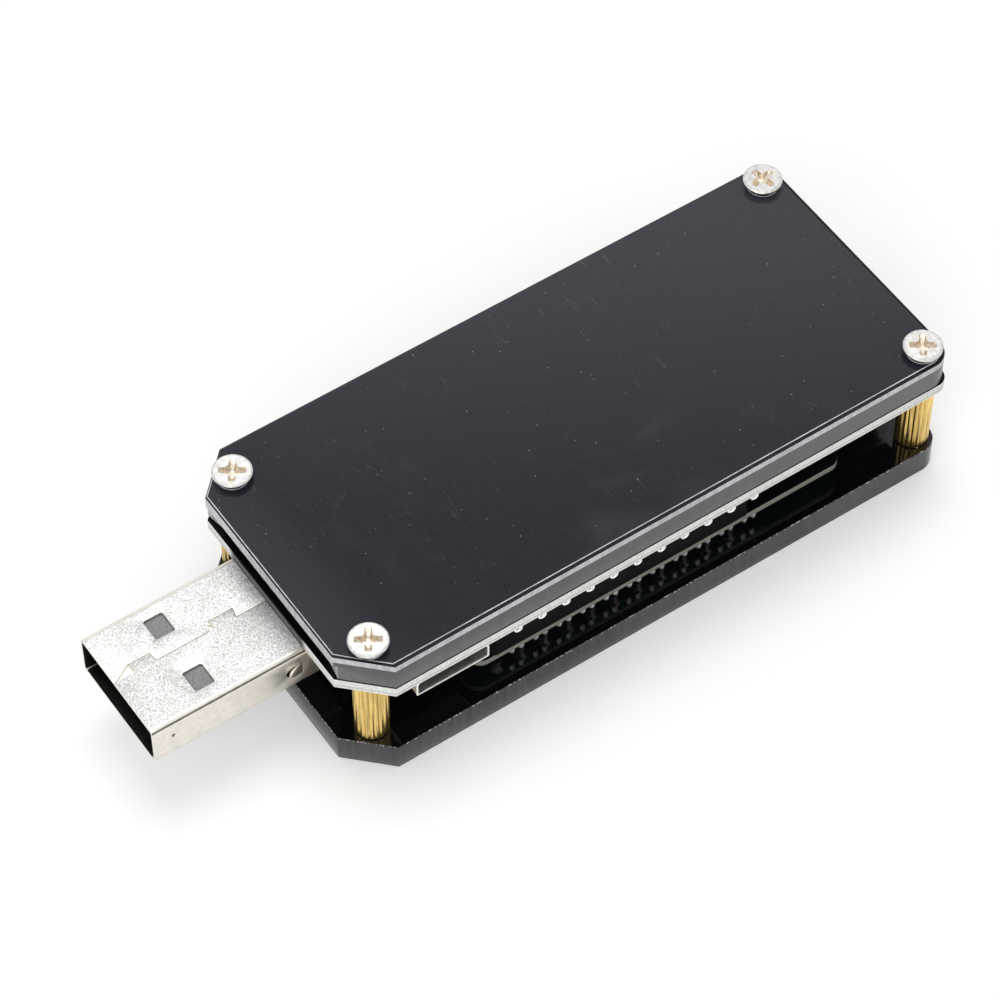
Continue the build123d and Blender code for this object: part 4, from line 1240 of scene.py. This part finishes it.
class METER_OT_solder(bpy.types.Operator):
    """Pin header with its solder joints, and the row of solder loops under the board's edge"""
    bl_idname = "meter.solder"
    bl_label = "Header and solder"

    def execute(self, context):
        softened("header_strip", "header_body", "header_plastic", 0.12)
        softened("header_pins", "header_square_pins", "lead_tin", 0.12)
        joint = ((0.93, 0.07), (0.76, 0.20), (0.62, 0.38), (0.54, 0.62), (0.50, 0.86), (0.44, 1.0))
        lump = ((1.0, 0.30), (0.97, 0.55), (0.85, 0.78), (0.60, 0.93), (0.28, 1.0))
        boxes = islands("display_solder")
        wide = [b for b in boxes if b[1].x - b[0].x > 0.9]
        narrow = [b for b in boxes if b not in wide]
        for piece in (self.joints(wide, "display_joints", -1, joint),
                      self.joints(narrow, "display_edge_joints", -1, lump)):
            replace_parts(piece, "display_solder")
        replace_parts(self.joints(islands("board_solder"), "board_joints", 1, joint), "board_solder")
        self.loops()
        return {"FINISHED"}

    def joints(self, boxes, name, up, profile):
        """Turned solder joints, one to a box, standing on the board or hanging under it."""
        low, high = boxes[0]
        radius, height = (high.x - low.x) / 2, high.z - low.z
        bm = bmesh.new()
        edges = circle_run(bm, radius, 0.0, 28)
        lid(bm, edges)
        lid(bm, turned(bm, edges, [(radius * reach, height * rise) for reach, rise in profile]))
        tidy(bm)
        root_z = low.z if up > 0 else high.z
        turn = Matrix.Identity(4) if up > 0 else Matrix.Rotation(pi, 4, "X")
        places = [at(middle(b).x, middle(b).y, root_z, 0.5 * i) @ turn for i, b in enumerate(boxes)]
        return publish(stamped(bm, places), name, ["solder"], [], smooth=60.0)

    def loops(self):
        """A ring of solder under each place on the board's edge, thicker on one side."""
        boxes = islands("edge_beads")
        low, high = boxes[0]
        reach = (high.x - low.x) / 2
        tube = shapes().bead_tube
        ring = reach - tube
        bm = bmesh.new()
        profile = circle_run(bm, tube, 0.0, 10, (ring, 0.0))
        geom = list({v for e in profile for v in e.verts}) + profile
        bmesh.ops.spin(bm, geom=geom, cent=(0, 0, 0), axis=(0, 1, 0), dvec=(0, 0, 0),
                       angle=2 * pi, steps=28, use_merge=True, use_duplicate=False)
        for vert in bm.verts:
            away = hypot(vert.co.x, vert.co.z)
            share = 0.5 + 0.5 * cos(atan2(vert.co.z, vert.co.x) - 0.6)
            centre = Vector((vert.co.x, 0, vert.co.z)) * (ring / away)
            vert.co = centre + (vert.co - centre) * (0.75 + 0.60 * share)
        tidy(bm)
        places = [at(middle(b).x, b[0].y + tube * 1.7, high.z - 0.42, 0.05 * ((i * 5) % 3 - 1))
                  for i, b in enumerate(boxes)]
        publish(stamped(bm, places), "edge_solder_loops", ["solder"], ["edge_beads"],
                smooth=60.0)


class METER_OT_display(bpy.types.Operator):
    """Display, its frame and the clear window over it"""
    bl_idname = "meter.display"
    bl_label = "Display"

    def execute(self, context):
        softened("display_frame", "display_surround", "black_plastic", 0.08)
        softened("display_glass", "display_cell_glass", "display_cell", 0.05)
        softened("display_window", "window_pane", "clear_window", 0.06)
        return {"FINISHED"}


class METER_OT_buttons(bpy.types.Operator):
    """Two dished push buttons and their switches"""
    bl_idname = "meter.buttons"
    bl_label = "Buttons and switches"

    def execute(self, context):
        for body in ("mode_button", "select_button"):
            low, high = node_box(body)
            centre = middle((low, high))
            height = high.z - low.z
            stem, flange = 1.6, (high.x - low.x) / 2
            under = height - 0.5
            dish = ((0.6, 0.145), (0.95, 0.09), (1.15, 0.035), (1.27, 0.0), (1.40, 0.03),
                    (1.52, 0.10), (1.585, 0.20), (stem, 0.32))
            foot = ((stem, under), (flange - 0.05, under), (flange, under + 0.05),
                    (flange, height - 0.05), (flange - 0.05, height))
            bm = bmesh.new()
            edges = circle_run(bm, 0.25, 0.16, 48)
            lid(bm, edges)
            lid(bm, turned(bm, edges, dish + foot))
            tidy(bm)
            bmesh.ops.translate(bm, vec=(centre.x, centre.y, low.z), verts=bm.verts)
            publish(bm, body + "_cap", ["button_plastic"], [body], body, 40.0)
        softened("switch_bases", "switch_housings", "black_plastic", 0.10)
        softened("switch_covers", "switch_plates", "spring_steel", 0.05)
        dress("switch_domes", "spring_steel")
        return {"FINISHED"}


class METER_OT_chips(bpy.types.Operator):
    """Parts soldered on the main board inside the spacer"""
    bl_idname = "meter.chips"
    bl_label = "Chips"

    def execute(self, context):
        softened("controller_chip", "controller_case", "chip_case", 0.10)
        softened("controller_leads", "controller_pins", "lead_tin", 0.03)
        softened("regulator_chip", "regulator_case", "chip_case", 0.12)
        softened("inductor", "inductor_block", "ferrite", 0.18)
        softened("shunt_resistor", "shunt_block", "chip_case", 0.08)
        softened("crystal", "crystal_can", "spring_steel", 0.10)
        softened("capacitors", "ceramic_capacitors", "ceramic", 0.07)
        return {"FINISHED"}


# ---- studio --------------------------------------------------------------------------------------
CAMERA_PLACE = Vector((-0.117996, -0.173505, 0.288213))
CAMERA_TARGET = Vector((-0.003108, -0.004469, 0.015430))
CAMERA_ROLL = radians(-0.10)


class METER_OT_studio(bpy.types.Operator):
    """Pale floor, soft lamps, even room light and the camera"""
    bl_idname = "meter.studio"
    bl_label = "Studio"

    def execute(self, context):
        scene = context.scene
        studio = scene.meter_studio
        scene.view_settings.view_transform = "Standard"
        self.add_floor(scene)
        self.add_world(scene, studio)
        self.add_lamp(scene, "key_lamp", (0.10, 0.22, 0.95), 0.5, studio.key_power)
        self.add_lamp(scene, "fill_lamp", (-0.62, -0.50, 0.42), 0.7, studio.fill_power)
        data = bpy.data.cameras.new("meter_camera")
        data.lens = studio.lens
        data.sensor_width = 36.0
        camera = bpy.data.objects.new("meter_camera", data)
        camera.location = CAMERA_PLACE
        look = (CAMERA_TARGET - CAMERA_PLACE).to_track_quat("-Z", "Y").to_matrix().to_4x4()
        camera.rotation_euler = (look @ Matrix.Rotation(CAMERA_ROLL, 4, "Z")).to_euler()
        scene.collection.objects.link(camera)
        scene.camera = camera
        return {"FINISHED"}

    def add_floor(self, scene):
        bm = bmesh.new()
        bmesh.ops.create_grid(bm, x_segments=4, y_segments=4, size=2.5)
        mesh = bpy.data.meshes.new("studio_floor")
        bm.to_mesh(mesh)
        bm.free()
        floor = bpy.data.objects.new("studio_floor", mesh)
        floor.location.z = -0.00002
        scene.collection.objects.link(floor)
        f = Finish("studio_floor", Roughness=0.9, Specular_IOR_Level=0.1,
                   Emission_Color=(1.0, 1.0, 1.0, 1.0))
        paper = noise(f.tree, f.vector, 40.0, 4.0)
        f.feed("Base Color", f.mix(paper, (0.90, 0.90, 0.90), (0.93, 0.93, 0.93)))
        ray = add_node(f.tree, "ShaderNodeLightPath").outputs
        seen = f.math("MAXIMUM", ray["Is Camera Ray"], ray["Is Glossy Ray"])
        f.feed("Emission Strength", f.product(seen, 0.24))
        mesh.materials.append(f.material)

    def add_world(self, scene, studio):
        world = bpy.data.worlds.new("studio_room")
        world.use_nodes = True
        tree = world.node_tree
        tree.nodes.clear()
        ray = add_node(tree, "ShaderNodeLightPath").outputs
        bent = calculate(tree, "MAXIMUM", ray["Is Glossy Ray"], ray["Is Transmission Ray"])
        seen = calculate(tree, "MAXIMUM", ray["Is Camera Ray"], bent)
        even, white = (add_node(tree, "ShaderNodeBackground",
                                {"Color": (1, 1, 1, 1), "Strength": strength})
                       for strength in (studio.ambient, 1.0))
        both = add_node(tree, "ShaderNodeMixShader",
                        {0: seen, 1: even.outputs[0], 2: white.outputs[0]})
        add_node(tree, "ShaderNodeOutputWorld", {"Surface": both.outputs[0]})
        scene.world = world

    def add_lamp(self, scene, name, place, size, power):
        data = bpy.data.lights.new(name, "AREA")
        data.shape = "SQUARE"
        data.size = size
        data.energy = power
        lamp = bpy.data.objects.new(name, data)
        lamp.location = place
        lamp.rotation_euler = (-Vector(place)).to_track_quat("-Z", "Y").to_euler()
        scene.collection.objects.link(lamp)


# ---- add-on --------------------------------------------------------------------------------------
OPERATORS = (METER_OT_studio, METER_OT_plates, METER_OT_boards, METER_OT_standoffs,
             METER_OT_back_screws, METER_OT_front_screws, METER_OT_plug, METER_OT_socket,
             METER_OT_micro_socket, METER_OT_solder, METER_OT_display, METER_OT_buttons,
             METER_OT_chips)
SETTINGS = {"meter_shapes": MeterShapes, "meter_finishes": MeterFinishes,
            "meter_studio": MeterStudio}


class METER_PT_pieces(bpy.types.Panel):
    bl_idname = "METER_PT_pieces"
    bl_label = "Power Meter"
    bl_space_type = "VIEW_3D"
    bl_region_type = "UI"
    bl_category = "Power Meter"

    def draw(self, context):
        for operator in OPERATORS:
            self.layout.operator(operator.bl_idname)
        for name, kind in SETTINGS.items():
            box = self.layout.box()
            for key in kind.__annotations__:
                box.prop(getattr(context.scene, name), key)


def register():
    for item in (*SETTINGS.values(), *OPERATORS, METER_PT_pieces):
        bpy.utils.register_class(item)
    for name, kind in SETTINGS.items():
        setattr(bpy.types.Scene, name, PointerProperty(type=kind))


def unregister():
    for name in SETTINGS:
        delattr(bpy.types.Scene, name)
    for item in (METER_PT_pieces, *reversed(OPERATORS), *SETTINGS.values()):
        bpy.utils.unregister_class(item)


def main():
    register()
    for operator in OPERATORS:
        name = operator.bl_idname.split(".")[1]
        getattr(bpy.ops.meter, name)()


if __name__ == "__main__":
    main()
